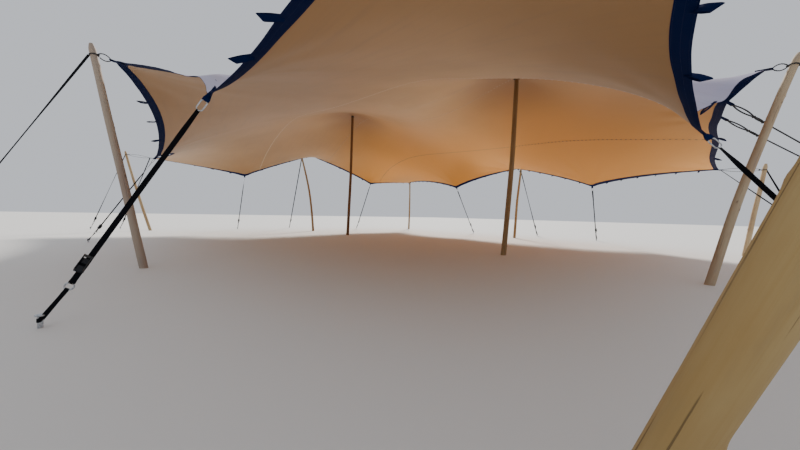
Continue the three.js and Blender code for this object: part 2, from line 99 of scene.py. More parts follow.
def makeCamera():
    lens = bpy.data.cameras.new("photo_view")
    lens.lens = photo["lens"]
    lens.sensor_width = photo["filmWidth"]
    lens.shift_y = -photo["horizonAboveCentre"] / photo["width"]
    lens.clip_start = photo["nearClip"]
    right = np.array(photo["right"])
    axes = (right + photo["roll"] * up, up - photo["roll"] * right, -np.array(photo["forward"]))
    bpy.context.scene.camera = stand("photo_view", lens, photo["eye"], axes)


makeCamera()
print("stage: camera")

# Places, as the structure has them
cut = {
    "length": 15.0, "width": 10.5, "stepsLong": 60, "stepsWide": 40, "seams": (12, 22, 32), "thick": 0.003,
    "nearestPull": 0.14, "shiftReach": 3.2,
}
stepsLong, stepsWide = cut["stepsLong"], cut["stepsWide"]
longStep, wideStep = cut["length"] / stepsLong, cut["width"] / stepsWide
stepsRound = 2 * (stepsLong + stepsWide)

# Tied points of the rim: name, step round the rim, place, and how hard the webbing pulls to the next one
rim = [
    ("south_east", 0, (8.36, -5.19, 2.90), 2.6), ("south_right", 12, (4.48, -5.48, 1.99), 6),
    ("south", 24, (1.67, -6.42, 3.09), 8), ("south_left", 38, (-2.53, -6.06, 2.31), 8),
    ("south_west", 60, (-9.12, -6.42, 3.14), 8), ("west_right", 70, (-7.74, -2.99, 2.56), 8),
    ("west", 80, (-7.33, 0.01, 3.84), 8), ("west_left", 90, (-7.14, 3.52, 2.65), 8),
    ("north_west", 100, (-7.57, 6.73, 3.00), 8), ("north_right", 122, (-2.45, 5.68, 2.30), 8),
    ("north", 134, (0.36, 6.55, 3.05), 8), ("north_left", 146, (3.28, 6.74, 2.10), 8),
    ("north_east", 160, (6.64, 5.69, 2.25), 8), ("east_far", 172, (7.03, 2.26, 2.79), 8),
    ("east_near", 174, (7.15, 1.60, 2.88), 8), ("east", 178, (7.55, 1.02, 3.10), 5),
    ("east_left", 188, (7.28, -1.67, 1.75), 3.2),
]
tips = {name: np.array(at, float) for name, _, at, _ in rim}

# Inner poles: name, grid place of the peak, foot, peak, how far the cloth rounds over it, bow
innerPoles = [
    ("east", (46, 22), (3.67, 0.52, 0), (3.81, 0.71, 4.22), 1.4, (0.050, -0.020)),
    ("west", (18, 20), (-3.61, 0.24, 0), (-3.55, 0.33, 5.04), 1.9, (-0.015, 0.030)),
]
# Rim poles: name, foot, top, stake, bow
rimPoles = [
    ("south_east", (7.50, -4.83, 0), (8.70, -5.25, 3.25), (10.68, -5.78), (-0.020, 0.020)),
    ("south", (1.68, -6.06, 0), (1.51, -6.71, 3.33), (1.48, -8.22), (0.025, 0.0)),
    ("south_west", (-9.10, -6.39, 0), (-9.80, -7.31, 3.42), (-10.68, -8.45), (0.025, -0.025)),
    ("west", (-6.73, -0.04, 0), (-8.04, -0.26, 3.95), (-9.90, -0.22), (0.030, 0.110)),
    ("north_west", (-7.07, 6.41, 0), (-7.80, 7.02, 3.10), (-9.21, 8.21), (0.015, 0.015)),
    ("north", (0.58, 6.02, 0), (0.31, 6.90, 3.12), (0.31, 8.45), (-0.030, 0.0)),
    ("north_east", (7.08, 6.27, 0), (7.40, 6.51, 2.42), (8.28, 7.49), (0.0, -0.020)),
    ("east", (7.11, 0.32, 0), (7.85, 1.03, 3.23), (9.51, 1.12), (-0.045, 0.045)),
]
tieStakes = {
    "south_right": (4.35, -6.52), "south_left": (-3.61, -7.46), "west_right": (-9.37, -2.98),
    "west_left": (-8.75, 3.57), "north_right": (-2.45, 7.08), "north_left": (3.01, 8.02),
    "east_left": (8.46, -1.62),
}
cornerStakes = {"south_west": (-10.68, -7.50), "north_east": (8.75, 6.60)}
sideRopes = ("east_near", "east_far")
sideRopeStake = (10.14, 4.17)


# The stretched sheet: every grid point rests between its neighbours, the rim webbing pulls harder
def rimCell(step):
    step = step % stepsRound
    if step <= stepsLong:
        return stepsLong - step, 0
    if step <= stepsLong + stepsWide:
        return 0, step - stepsLong
    if step <= 2 * stepsLong + stepsWide:
        return step - stepsLong - stepsWide, stepsWide
    return stepsLong, stepsRound - step


def stretchedSheet():
    shape = (stepsLong + 1, stepsWide + 1)
    index = np.arange(shape[0] * shape[1]).reshape(shape)
    i, j = np.indices(shape)

    def awayFrom(cell, i, j):
        return np.hypot((i - cell[0]) * longStep, (j - cell[1]) * wideStep)

    def stiffness(i, j):
        return 1 + sum((soft / np.maximum(awayFrom(cell, i, j), cut["nearestPull"])) ** 2
                       for _, cell, _, _, soft, _ in innerPoles)

    def links(stiff):
        along = np.full((stepsLong, shape[1]), wideStep / longStep)
        across = np.full((shape[0], stepsWide), longStep / wideStep)
        along[:, [0, -1]] *= 0.5  # the rim has half a strip of cloth to each link
        across[[0, -1]] *= 0.5
        if stiff:
            along *= stiffness(i[:-1] + 0.5, j[:-1])
            across *= stiffness(i[:, :-1], j[:, :-1] + 0.5)
        for step in range(stepsRound):
            pull = [p for _, at, _, p in rim if at <= step][-1]
            (a, b), (c, d) = rimCell(step), rimCell(step + 1)
            if a == c:
                across[a, min(b, d)] += pull / wideStep
            else:
                along[min(a, c), b] += pull / longStep
        return (along, index[:-1], index[1:]), (across, index[:, :-1], index[:, 1:])

    def settle(linked, axes):
        matrix = np.zeros((index.size, index.size))
        for parts in linked:
            weight, one, other = (part.ravel() for part in parts)
            np.add.at(matrix, (one, one), weight)
            np.add.at(matrix, (other, other), weight)
            matrix[one, other] -= weight
            matrix[other, one] -= weight
        fixed, free = np.flatnonzero(held), np.flatnonzero(~held)
        load = -matrix[np.ix_(free, fixed)] @ flat[np.ix_(fixed, axes)]
        flat[np.ix_(free, axes)] = np.linalg.solve(matrix[np.ix_(free, free)], load)

    flat = np.zeros((index.size, 3))
    held = np.zeros(index.size, bool)
    for _, step, at, _ in rim:
        flat[index[rimCell(step)]] = at
        held[index[rimCell(step)]] = True
    settle(links(False), [0, 1])
    for _, cell, _, peak, _, _ in innerPoles:  # the cloth slides until the peak stands over the pole
        away = awayFrom(cell, i, j).ravel() / cut["shiftReach"]
        share = np.clip(1 - away**2, 0, None)[:, None] ** 2
        flat[:, :2] += share * (np.array(peak[:2]) - flat[index[cell], :2])
        flat[index[cell], 2] = peak[2]
        held[index[cell]] = True
    settle(links(True), [2])
    return flat.reshape(*shape, 3)


grid = stretchedSheet()
padded = np.pad(grid, ((1, 2), (1, 2), (0, 0)), mode="reflect", reflect_type="odd")

# Where the cloth leaves its even curve: grid place, reach in metres, and how far it moves
sags = [
    ((60, 17.3), 0.42, (0.02, 0.02, -0.115)), ((60, 13.4), 0.29, (-0.067, -0.087, 0.04)),
    ((60, 33.0), 0.80, (0.10, 0.02, 0.0)), ((60, 29.0), 0.80, (-0.045, 0.0, 0.0)),
    ((45.6, 0), 0.44, (0.0, 0.0, 0.090)), ((52, 0), 0.50, (0.0, -0.060, 0.0)),
    ((60, 6.6), 0.40, (0.030, 0.0, 0.0)),
]
# Where the south rim turns up: its middle in metres, reach either way, rise at the edge and width turned
hem = {"middle": 10.05, "reach": 1.05, "rise": 0.045, "width": 0.20}
# The fold from the east tie past the east pole: grid place and depth of each corner, how far it reaches to
# either side, how round its bottom is, and how its line is smoothed
crease = {
    "line": [
        ((60, 12), 0), ((57, 12), 0.10), ((54, 12), 0.135), ((51, 12), 0.155), ((48.6, 13.8), 0.145),
        ((46.6, 16.2), 0.120), ((45, 17.8), 0.11), ((43, 18.4), 0.10), ((40, 18.0), 0.08),
        ((36, 17.7), 0.045), ((32, 17.7), 0),
    ],
    "near": 0.85, "far": 0.30, "round": 0.025, "places": 91, "smoothing": 5, "slide": 0.6,
}


def creaseCurve():
    travel = np.arange(len(crease["line"]))
    half = crease["smoothing"]
    window = np.ones(2 * half + 1) / (2 * half + 1)
    fine = np.linspace(0, travel[-1], crease["places"])

    def soft(values):
        return np.convolve(np.pad(np.interp(fine, travel, values), half, mode="edge"), window, "valid")

    us, vs = np.transpose([place for place, _ in crease["line"]])
    places = columns(soft(us) * longStep, soft(vs) * wideStep)
    return places, soft([deep for _, deep in crease["line"]])


creasePlaces, creaseDeep = creaseCurve()


def easedAt(u, v):
    x, y = u * longStep, v * wideStep
    total = np.zeros(np.shape(x) + (3,))
    for (a, b), reach, move in sags:
        share = np.exp(-((x - a * longStep) ** 2 + (y - b * wideStep) ** 2) / reach**2)
        total += share[..., None] * np.array(move)
    near = np.clip(1 - ((x - hem["middle"]) / hem["reach"]) ** 2, 0, 1)
    total[..., 2] += hem["rise"] * near * np.clip(1 - y / hem["width"], 0, 1) ** 2
    nearest = np.argmin(np.hypot(x[..., None] - creasePlaces[:, 0], y[..., None] - creasePlaces[:, 1]), -1)
    ahead = np.gradient(creasePlaces, axis=0)[nearest]
    gap = np.stack([x, y], -1) - creasePlaces[nearest]
    travel = np.clip((gap * ahead).sum(-1) / (ahead**2).sum(-1), -crease["slide"], crease["slide"])
    gap = gap - travel[..., None] * ahead
    away = np.hypot(gap[..., 0], gap[..., 1])
    beyond = ahead[..., 0] * gap[..., 1] - ahead[..., 1] * gap[..., 0] < 0  # the side of the pole
    soft = np.sqrt(away**2 + crease["round"] ** 2) - crease["round"]
    share = np.where(beyond, np.exp(-soft / crease["far"]), np.exp(-((away / crease["near"]) ** 2)))
    total[..., 2] -= share * np.interp(nearest + travel, np.arange(len(creaseDeep)), creaseDeep)
    return total


def curveWeights(t):
    parts = (-t + 2 * t**2 - t**3, 2 - 5 * t**2 + 3 * t**3, t + 4 * t**2 - 3 * t**3, -t**2 + t**3)
    return np.stack(parts, -1) / 2


def smoothAt(u, v):  # smooth surface through the grid, u and v in grid steps
    u, v = np.broadcast_arrays(np.asarray(u, float), np.asarray(v, float))
    i = np.clip(np.floor(u).astype(int), 0, stepsLong - 1)
    j = np.clip(np.floor(v).astype(int), 0, stepsWide - 1)
    wu, wv = curveWeights(u - i), curveWeights(v - j)
    total = np.zeros(u.shape + (3,))
    for a in range(4):
        for b in range(4):
            total += (wu[..., a] * wv[..., b])[..., None] * padded[i + a, j + b]
    return total + easedAt(u, v)


def facingAt(u, v, reach=0.06):
    alongU = smoothAt(u + reach, v) - smoothAt(u - reach, v)
    alongV = smoothAt(u, v + reach) - smoothAt(u, v - reach)
    return unit(np.cross(alongU, alongV))


folds = {  # round the tied points, round the peaks, and the pucker along the rim
    "tip": {"depth": 0.008, "reach": 0.95, "start": 0.6, "count": 9, "second": 0.5, "secondPace": 1.7},
    "peak": {"depth": 0.005, "reach": 0.9, "start": 0.5, "count": 7, "second": 0.0, "secondPace": 1.0},
    "pucker": {"depth": 0.0025, "reach": 0.35, "length": 0.38, "fade": (1.3, -0.9)},
}


def foldsAt(u, v):  # how far tension folds push the cloth out of its smooth shape
    x, y = u * longStep, v * wideStep
    push = np.zeros(np.broadcast(u, v).shape)
    spots = [(folds["tip"], number, rimCell(tied[1])) for number, tied in enumerate(rim)]
    spots += [(folds["peak"], number, pole[1]) for number, pole in enumerate(innerPoles)]
    for fold, number, (a, b) in spots:
        away = np.hypot(x - a * longStep, y - b * wideStep)
        turn = fold["count"] * np.arctan2(y - b * wideStep, x - a * longStep)
        wave = np.sin(turn + number) + fold["second"] * np.sin(fold["secondPace"] * turn + 2 * number)
        near = np.exp(-away / fold["reach"]) * np.clip(away / fold["start"], 0, 1) ** 2
        push += fold["depth"] * near * wave
    pucker = folds["pucker"]
    edge = np.minimum(np.minimum(x, cut["length"] - x), np.minimum(y, cut["width"] - y))
    fade = np.sin(pucker["fade"][0] * x + pucker["fade"][1] * y)
    along = np.sin(2 * math.pi * (x + y) / pucker["length"]) * fade
    return push + pucker["depth"] * np.exp(-np.maximum(edge, 0) / pucker["reach"]) * along


def clothAt(u, v):
    return smoothAt(u, v) + facingAt(u, v) * foldsAt(u, v)[..., None]


cornerSteps = [0, stepsLong, stepsLong + stepsWide, 2 * stepsLong + stepsWide, stepsRound]


def rimPlace(step, inset=0.0):  # grid place of a step round the rim, moved in by some grid steps
    step = np.asarray(step, float)
    u = np.interp(step, cornerSteps, [stepsLong, 0, 0, stepsLong, stepsLong])
    v = np.interp(step, cornerSteps, [0, 0, stepsWide, stepsWide, 0])
    return inset + u * (1 - 2 * inset / stepsLong), inset + v * (1 - 2 * inset / stepsWide)


print("stage: sheet shape")


# Node trees written as expressions on wires, for finishes and for Geometry Nodes
class Wire:
    def __init__(self, tree, socket=None):
        self.tree, self.socket = tree, socket

    def node(self, kind, settings=None, values=None, out=0):
        made = self.tree.nodes.new(kind)
        for name, value in (settings or {}).items():
            if name == "captures":
                for socketType, label in value:
                    made.capture_items.new(socketType, label)
            else:
                setattr(made, name, value)
        for name, value in (values or {}).items():
            if isinstance(value, Wire):
                self.tree.links.new(value.socket, made.inputs[name])
            else:
                made.inputs[name].default_value = value
        return Wire(self.tree, made.outputs[out])

    def beside(self, out):  # another output of the same node
        return Wire(self.tree, self.socket.node.outputs[out])

    def maths(self, operation, *values):
        return self.node("ShaderNodeMath", {"operation": operation}, dict(enumerate(values)))

    def __add__(self, other):
        return self.maths("ADD", self, other)

    def __sub__(self, other):
        return self.maths("SUBTRACT", self, other)

    def __rsub__(self, other):
        return self.maths("SUBTRACT", other, self)

    def __mul__(self, other):
        return self.maths("MULTIPLY", self, other)

    __radd__ = __add__
    __rmul__ = __mul__

    def between(self, low, high):  # 0 below low, 1 above high, smooth in the middle
        return self.node(
            "ShaderNodeMapRange", {"interpolation_type": "SMOOTHSTEP"},
            {"Value": self, "From Min": low, "From Max": high},
        )

    def blend(self, one, other):  # this wire is the share of the other colour
        one, other = (paint(colour) if isinstance(colour, str) else colour for colour in (one, other))
        return self.node("ShaderNodeMix", {"data_type": "RGBA"}, {0: self, 6: one, 7: other}, 2)


def paint(code):  # colour picker code to linear light
    values = [int(code[k:k + 2], 16) / 255 for k in (0, 2, 4)]
    return tuple(c / 12.92 if c < 0.04045 else ((c + 0.055) / 1.055) ** 2.4 for c in values) + (1.0,)


def layered(colour, *layers):  # each layer is where it shows and its colour
    for share, code in layers:
        colour = share.blend(colour, code)
    return colour


def startFinish(name):
    material = bpy.data.materials.new(name)
    material.use_nodes = True
    return material, Wire(material.node_tree)


def kept(wire, name="own", out=1):  # what a piece keeps on its points: out 1 for a place, 2 for a number
    return wire.node("ShaderNodeAttribute", {"attribute_name": name}, out=out)


def objectPlace(wire):
    return wire.node("ShaderNodeTexCoord", out="Object")


def noises(wire, place, look, *names):
    return [noise(wire, place, *look[name]) for name in names]


def noise(wire, place, scale, detail=3.0, rough=0.5, move=(0, 0, 0)):  # three scales draw its grain out
    if np.ndim(scale):
        place = wire.node("ShaderNodeMapping", {}, {"Vector": place, "Scale": scale, "Location": move})
        scale = 1.0
    values = {"Vector": place, "Scale": scale, "Detail": detail, "Roughness": rough}
    return wire.node("ShaderNodeTexNoise", {}, values)


def ribbing(wire, place, way, scale, distortion):
    values = {"Vector": place, "Scale": scale, "Distortion": distortion, "Detail": 1.0}
    return wire.node("ShaderNodeTexWave", {"wave_type": "BANDS", "bands_direction": way}, values, 1)


def bump(wire, height, distance, strength, **normal):
    values = {"Height": height, "Distance": distance, "Strength": strength, **normal}
    return wire.node("ShaderNodeBump", {}, values)


def finishWith(material, wire, links, constants=None):
    shader = material.node_tree.nodes["Principled BSDF"]
    for name, value in links.items():
        wire.tree.links.new(value.socket, shader.inputs[name])
    for name, value in (constants or {}).items():
        shader.inputs[name].default_value = value
    return material


clothLook = {
    "inside": ("a1805a", "ae8b64", 0.25), "outside": ("b0abc4", "c2bbce", 0.35), "dust": "84735f",
    "clouds": (0.35, 4.0, 0.55), "streaks": ((0.91, 11.7, 1.3), 3.0, 0.5), "spots": (2.2, 5.0, 0.62),
    "grain": (420.0, 2.0, 0.6), "cloudsAt": (0.38, 0.64), "streaksAt": (0.45, 0.8), "spotsAt": (0.6, 0.82),
    "streaked": 0.22, "rough": (0.40, 0.16, 0.08), "sheen": 0.06, "gloss": 0.4,
    "through": (0.94, 0.58, 0.20, 1.0), "share": 0.13, "wave": (0.004, 0.18), "weave": (0.0004, 0.5),
    # north is the colour of a painted glow towards the north edge, where light comes through from behind
    "north": "e09a30", "northGlowFrom": (4.6, 8.8), "northGlowBlend": 0.85, "northGlowShare": 0.26,
    # peak is the colour of the painted shade round the pole heads
    "peak": "643b21", "peakShadeReach": (0.05, 1.8), "peakShadeBlend": 0.72,
    # the first, pale weld colour is a painted highlight along the ridge; the other two are darker weld lines
    "weldsAndRidgeHighlight": (("cbb694", 0.5), ("5f4a35", 0.25), ("5f4a35", 0.25)), "weldEdge": (0.010, 0.018),
}


def clothFinish(name, paintedLightAndSeams):
    look = clothLook
    material, wire = startFinish("canopy_" + name)
    light, dark, dusty = look[name]
    place = kept(wire)
    clouds, streaks, spots, grain = noises(wire, place, look, "clouds", "streaks", "spots", "grain")
    colour = layered(
        clouds.between(*look["cloudsAt"]).blend(dark, light),
        (streaks.between(*look["streaksAt"]) * look["streaked"], look["dust"]),
        (spots.between(*look["spotsAt"]) * dusty, look["dust"]),
    )
    thin = look["share"]
    if paintedLightAndSeams:  # painted light on the inside: a painted glow towards the north edge, painted shade round the pole heads, and the seam welds
        y = wire.node("ShaderNodeSeparateXYZ", {}, {0: place}, 1)
        # painted glow: the cloth is painted more orange towards the north, and lets more light through there
        north = y.between(*look["northGlowFrom"])
        thin = look["share"] + look["northGlowShare"] * north
        colour = layered(colour, (north * look["northGlowBlend"], look["north"]))
        for _, (a, b), _, _, _, _ in innerPoles:  # painted shade: the cloth is painted darker round each pole head, where less light reaches it
            peak = (a * longStep, b * wideStep, 0.0)
            away = wire.node("ShaderNodeVectorMath", {"operation": "DISTANCE"}, {0: place, 1: peak}, 1)
            near = (1.0 - away.between(*look["peakShadeReach"])) * look["peakShadeBlend"]
            colour = layered(colour, (near, look["peak"]))
        # the first seam runs along the ridge, and its pale colour there is a painted highlight
        for seam, (weld, share) in zip(cut["seams"], look["weldsAndRidgeHighlight"]):
            offset = y - seam * wideStep
            edge = offset.maths("ABSOLUTE", offset).between(*look["weldEdge"])
            colour = layered(colour, ((1.0 - edge) * share, weld))
    base, cloudy, grainy = look["rough"]
    wave = bump(wire, streaks, *look["wave"])
    weave = bump(wire, grain, *look["weave"], Normal=wave)
    links = {"Base Color": colour, "Roughness": base + cloudy * clouds + grainy * grain, "Normal": weave}
    finishWith(material, wire, links, {"Sheen Weight": look["sheen"], "Specular IOR Level": look["gloss"]})
    nodes = material.node_tree.nodes
    glow = wire.node("ShaderNodeBsdfTranslucent", {}, {"Color": look["through"]})
    solid = Wire(wire.tree, nodes["Principled BSDF"].outputs[0])
    mixed = wire.node("ShaderNodeMixShader", {}, {0: thin, 1: solid, 2: glow})
    wire.tree.links.new(mixed.socket, nodes["Material Output"].inputs["Surface"])
    return material


clothInside, clothOutside = clothFinish("inside", True), clothFinish("outside", False)

webbingLook = {
    "band": ("04102f", "0b1f52", 0.10), "strap": ("07080c", "101218", 0.12), "ribs": ("Z", 23.14981, 0.4),
    "twill": ("X", 60.0, 0.6), "fuzz": (900.0, 2.0, 0.7), "worn": (3.5, 4.0, 0.6), "wornAt": (0.55, 0.8),
    "wornTo": "30343e", "relief": (0.0009, 0.8), "rough": (0.78, 0.2), "sheen": 0.01, "gloss": 0.08,
}


def webbingFinish(name):
    look = webbingLook
    material, wire = startFinish(name + "_webbing")
    dark, light, worn = look[name]
    place = kept(wire)
    ribs, twill = (ribbing(wire, place, *look[kind]) for kind in ("ribs", "twill"))
    fuzz, patches = noises(wire, place, look, "fuzz", "worn")
    woven = (ribs * 0.5 + fuzz * 0.5).blend(dark, light)
    colour = layered(woven, (patches.between(*look["wornAt"]) * worn, look["wornTo"]))
    weave = bump(wire, ribs + twill * 0.6 + fuzz * 0.3, *look["relief"])
    smooth, fuzzy = look["rough"]
    links = {"Base Color": colour, "Roughness": smooth + fuzzy * fuzz, "Normal": weave}
    constants = {"Sheen Weight": look["sheen"], "Specular IOR Level": look["gloss"]}
    return finishWith(material, wire, links, constants)


bandWebbing, strapWebbing = webbingFinish("band"), webbingFinish("strap")

woodLook = {
    "pale": "cdb78c", "warm": "b08d5e", "grey": "8d8272", "knot": "5d3c24", "crack": "2c1b10",
    # old is old brown wood and, on the inner poles, painted shade
    "old": "6e4823", "ash": "857e83", "khaki": "9d8146",
    "broad": ((6, 6, 0.9), 4.0, 0.6), "broadAt": (0.35, 0.68),
    "fibres": ((150, 150, 2.2), 4.0, 0.65), "fibresAt": (0.45, 0.75), "fibresBlend": 0.45,
    "weather": ((14, 14, 2.5), 5.0, 0.6, (9, 2, 1)), "weatherAt": (0.55, 0.74), "weatherBlend": 0.55,
    "checks": ((75, 75, 1.1), 3.0, 0.55, (3, 1, 5)), "checksAt": (0.655, 0.685), "checksBlend": 0.55,
    "knotBlend": 0.85, "crackBlend": 0.92, "relief": (0.0022, 0.7), "rough": (0.55, 0.25, 0.1),
}


def woodFinish():
    look = woodLook
    material, wire = startFinish("peeled_wood")
    place = kept(wire)
    numbers = ("old", "ash", "khaki", "knot", "crack")
    old, ash, khaki, knots, cracks = (kept(wire, name, 2) for name in numbers)
    broad, fibres, checks, weather = noises(wire, place, look, "broad", "fibres", "checks", "weather")
    split = checks.between(*look["checksAt"])
    colour = layered(
        broad.between(*look["broadAt"]).blend(look["pale"], look["warm"]),
        (fibres.between(*look["fibresAt"]) * look["fibresBlend"], look["warm"]),
        (weather.between(*look["weatherAt"]) * look["weatherBlend"], look["grey"]),
        (ash, look["ash"]), (khaki, look["khaki"]), (old, look["old"]),
        (knots * look["knotBlend"], look["knot"]),
        # checks and cracks are painted near black: partly the darker wood inside them, partly painted shade
        # in the slits
        (split * look["checksBlend"], look["crack"]), (cracks * look["crackBlend"], look["crack"]),
    )
    relief = bump(wire, fibres * 0.5 + broad * 0.5 - split * 0.8 - cracks, *look["relief"])
    smooth, fibrous, checked = look["rough"]
    rough = smooth + fibrous * fibres + checked * split
    return finishWith(material, wire, {"Base Color": colour, "Roughness": rough, "Normal": relief})


peeledWood = woodFinish()

endGrainLook = {
    "rings": {"Scale": 55.0, "Distortion": 2.5, "Detail": 3.0, "Detail Scale": 6.0},
    "saw": ((30, 400, 30), 2.0), "wood": ("b08a58", "6e5135"), "relief": (0.0012, 0.6), "rough": (0.75, 0.15),
}


def endGrainFinish():
    look = endGrainLook
    material, wire = startFinish("end_grain")
    place = kept(wire)
    rings = wire.node(
        "ShaderNodeTexWave", {"wave_type": "RINGS", "rings_direction": "Z"},
        {"Vector": place, **look["rings"]}, 1,
    )
    saw = noise(wire, place, *look["saw"])
    relief = bump(wire, rings + saw, *look["relief"])
    colour = (rings * 0.6 + saw * 0.3).blend(*look["wood"])
    rough = look["rough"][0] + look["rough"][1] * saw
    links = {"Base Color": colour, "Roughness": rough, "Normal": relief}
    return finishWith(material, wire, links)


endGrain = endGrainFinish()

steelLook = {
    "spangle": (90.0, 3.0, 0.6), "spangleAt": (0.35, 0.7), "scratches": ((500, 500, 40), 2.0, 0.6),
    "patches": (22.0, 5.0, 0.65), "patchesAt": (0.6, 0.74), "rust": "6d3b1c", "dulled": 0.8,
    "relief": (0.0004, 0.5), "rough": (0.30, 0.2, 0.35),
}


def steelFinish(name, clean, stain, rust, metal):
    look = steelLook
    material, wire = startFinish(name)
    place = objectPlace(wire)
    spangle, scratches, patches = noises(wire, place, look, "spangle", "scratches", "patches")
    rusty = patches.between(*look["patchesAt"]) * rust
    colour = layered(spangle.between(*look["spangleAt"]).blend(clean, stain), (rusty, look["rust"]))
    smooth, spangled, pitted = look["rough"]
    links = {
        "Base Color": colour, "Roughness": smooth + spangled * spangle + pitted * rusty,
        "Metallic": metal - look["dulled"] * rusty,
        "Normal": bump(wire, scratches + patches * 0.6, *look["relief"]),
    }
    return finishWith(material, wire, links)


bareSteel = steelFinish("galvanised_steel", "c9ccd0", "9ea3a8", 0.35, 0.95)
darkSteel = steelFinish("blackened_steel", "1b1d24", "101218", 0.12, 0.6)

plainLooks = {  # a fine grain between two colours, soil over it, relief, roughness and sheen
    "dark_rope": {
        "grain": ((700, 700, 90), 3.0, 0.7), "grainAt": (0.3, 0.75), "colours": ("15161a", "34353b"),
        "soil": (6.0, 4.0, 0.6), "soilAt": (0.5, 0.8), "soiled": (0.35, "5a4f42"), "relief": (0.0008, 0.7),
        "rough": (0.78, 0.15), "sheen": 0.2,
    },
    "black_rubber": {
        "grain": (60.0, 4.0, 0.6), "colours": ("17181a", "2a2a2c"),
        "soil": (9.0, 4.0, 0.6), "soilAt": (0.5, 0.8), "soiled": (0.5, "77685a"), "relief": (0.0006, 0.5),
        "rough": (0.6, 0.25),
    },
    "pale_highlight_thread": {"colours": ("cbbfb0", "ece2d4")}, "navy_thread": {"colours": ("1c2547", "35406a")},
}
threadLook = {"grain": ((900, 900, 900), 2.0, 0.6), "relief": (0.0003, 0.5), "rough": (0.6, 0.2)}


def plainFinish(name):
    material, wire = startFinish(name)
    look = {**threadLook, **plainLooks[name]}
    place = kept(wire) if name == "dark_rope" else objectPlace(wire)
    grain = noise(wire, place, *look["grain"])
    colour = (grain.between(*look["grainAt"]) if "grainAt" in look else grain).blend(*look["colours"])
    if "soil" in look:
        amount, code = look["soiled"]
        colour = layered(colour, (noise(wire, place, *look["soil"]).between(*look["soilAt"]) * amount, code))
    links = {
        "Base Color": colour, "Roughness": look["rough"][0] + look["rough"][1] * grain,
        "Normal": bump(wire, grain, *look["relief"]),
    }
    return finishWith(material, wire, links, {"Sheen Weight": look.get("sheen", 0.0)})


darkRope, blackRubber, paleHighlightThread, darkThread = (plainFinish(name) for name in plainLooks)
print("stage: finishes")


# Meshes: chunks of points and faces with their own coordinates, gathered into one piece
sharpAngle = math.radians(38)  # faces that meet more sharply than this show an edge


class Heap:
    def __init__(self):
        self.points, self.faces, self.own, self.looks, self.extra = [], [], [], [], {}
        self.count = 0

    def add(self, points, faces, ownPlaces=None, look=0, **numbers):
        points = np.asarray(points, float).reshape(-1, 3)
        if volumeOf(points, faces) < 0:
            faces = [tuple(reversed(face)) for face in faces]
        for name in set(self.extra) | set(numbers):
            have = self.extra.setdefault(name, [np.zeros(self.count)])
            value = numbers.get(name, 0.0)
            have.append(np.broadcast_to(np.asarray(value, float), (len(points),)).copy())
        self.points.append(points)
        self.own.append(points if ownPlaces is None else np.asarray(ownPlaces, float).reshape(-1, 3))
        self.faces += [tuple(k + self.count for k in face) for face in faces]
        self.looks += [look] * len(faces) if np.isscalar(look) else list(look)
        self.count += len(points)
        return self

    def piece(self, name, materials, smooth=True):
        mesh = bpy.data.meshes.new(name)
        mesh.from_pydata(np.concatenate(self.points).tolist(), [], self.faces)
        places = mesh.attributes.new("own", "FLOAT_VECTOR", "POINT")
        places.data.foreach_set("vector", np.concatenate(self.own).ravel())
        for extra, parts in self.extra.items():
            mesh.attributes.new(extra, "FLOAT", "POINT").data.foreach_set("value", np.concatenate(parts))
        for material in materials:
            mesh.materials.append(material)
        mesh.polygons.foreach_set("material_index", self.looks)
        if smooth:
            mesh.shade_smooth()
            mesh.set_sharp_from_angle(angle=sharpAngle)
        piece = bpy.data.objects.new(name, mesh)
        bpy.context.scene.collection.objects.link(piece)
        return piece


def volumeOf(points, faces):
    corners = [(face[0], face[k], face[k + 1]) for face in faces for k in range(1, len(face) - 1)]
    a, b, c = (points[list(side)] for side in zip(*corners))
    return float(np.einsum("ij,ij->i", a, np.cross(b, c)).sum())


def loft(rings):  # rings of equal point count, joined into a closed skin
    rings = np.asarray(rings, float)
    count, sides = rings.shape[:2]
    faces = []
    for r in range(count - 1):
        for k in range(sides):
            a, b = r * sides + k, r * sides + (k + 1) % sides
            faces.append((a, b, b + sides, a + sides))
    faces.append(tuple(reversed(range(sides))))
    faces.append(tuple((count - 1) * sides + k for k in range(sides)))
    return rings.reshape(-1, 3), faces


def across(axis):  # two directions across an axis
    first = unit(np.cross((0.0, 1.0, 0.0), axis))
    return first, np.cross(axis, first)


def turned(profile, base, axis, sides):  # profile of (radius, height) turned about an axis
    ways = waysRound(*across(axis), turnsOf(sides))
    return loft([base + height * axis + radius * ways for radius, height in profile])


def block(centre, axes, size, bevel):  # a box with bevelled edges along its first axis
    (x, y, z), (a, b, c) = axes, np.array(size) / 2
    outline = [(b - bevel, c), (b, c - bevel), (b, bevel - c), (b - bevel, -c)]
    outline += [(bevel - b, -c), (-b, bevel - c), (-b, c - bevel), (bevel - b, c)]
    rings = []
    for s, shrink in ((-a, bevel), (bevel - a, 0), (a - bevel, 0), (a, bevel)):
        corners = [(s, np.sign(p) * (abs(p) - shrink), np.sign(q) * (abs(q) - shrink)) for p, q in outline]
        rings.append(placed(corners, centre, x, y, z))
    return loft(rings)


def placed(points, origin, x, y, z):
    return origin + np.asarray(points) @ np.array([x, y, z])


# Geometry Nodes trees, with a wire for each of their inputs
def startTree(name, **inputs):
    tree = bpy.data.node_groups.new(name, "GeometryNodeTree")
    tree.interface.new_socket("Geometry", in_out="OUTPUT", socket_type="NodeSocketGeometry")
    for label, kind in {"Geometry": "Geometry", **inputs, "Material": "Material"}.items():
        tree.interface.new_socket(label, in_out="INPUT", socket_type="NodeSocket" + kind)
    given = tree.nodes.new("NodeGroupInput")
    return {socket.name: Wire(tree, socket) for socket in given.outputs if socket.name}


def endTree(geometry, given):
    whole = geometry.node("GeometryNodeRealizeInstances", {}, {"Geometry": geometry})
    dressed = whole.node("GeometryNodeSetMaterial", {}, {"Geometry": whole, "Material": given["Material"]})
    last = geometry.tree.nodes.new("NodeGroupOutput")
    geometry.tree.links.new(dressed.socket, last.inputs[0])
    return geometry.tree


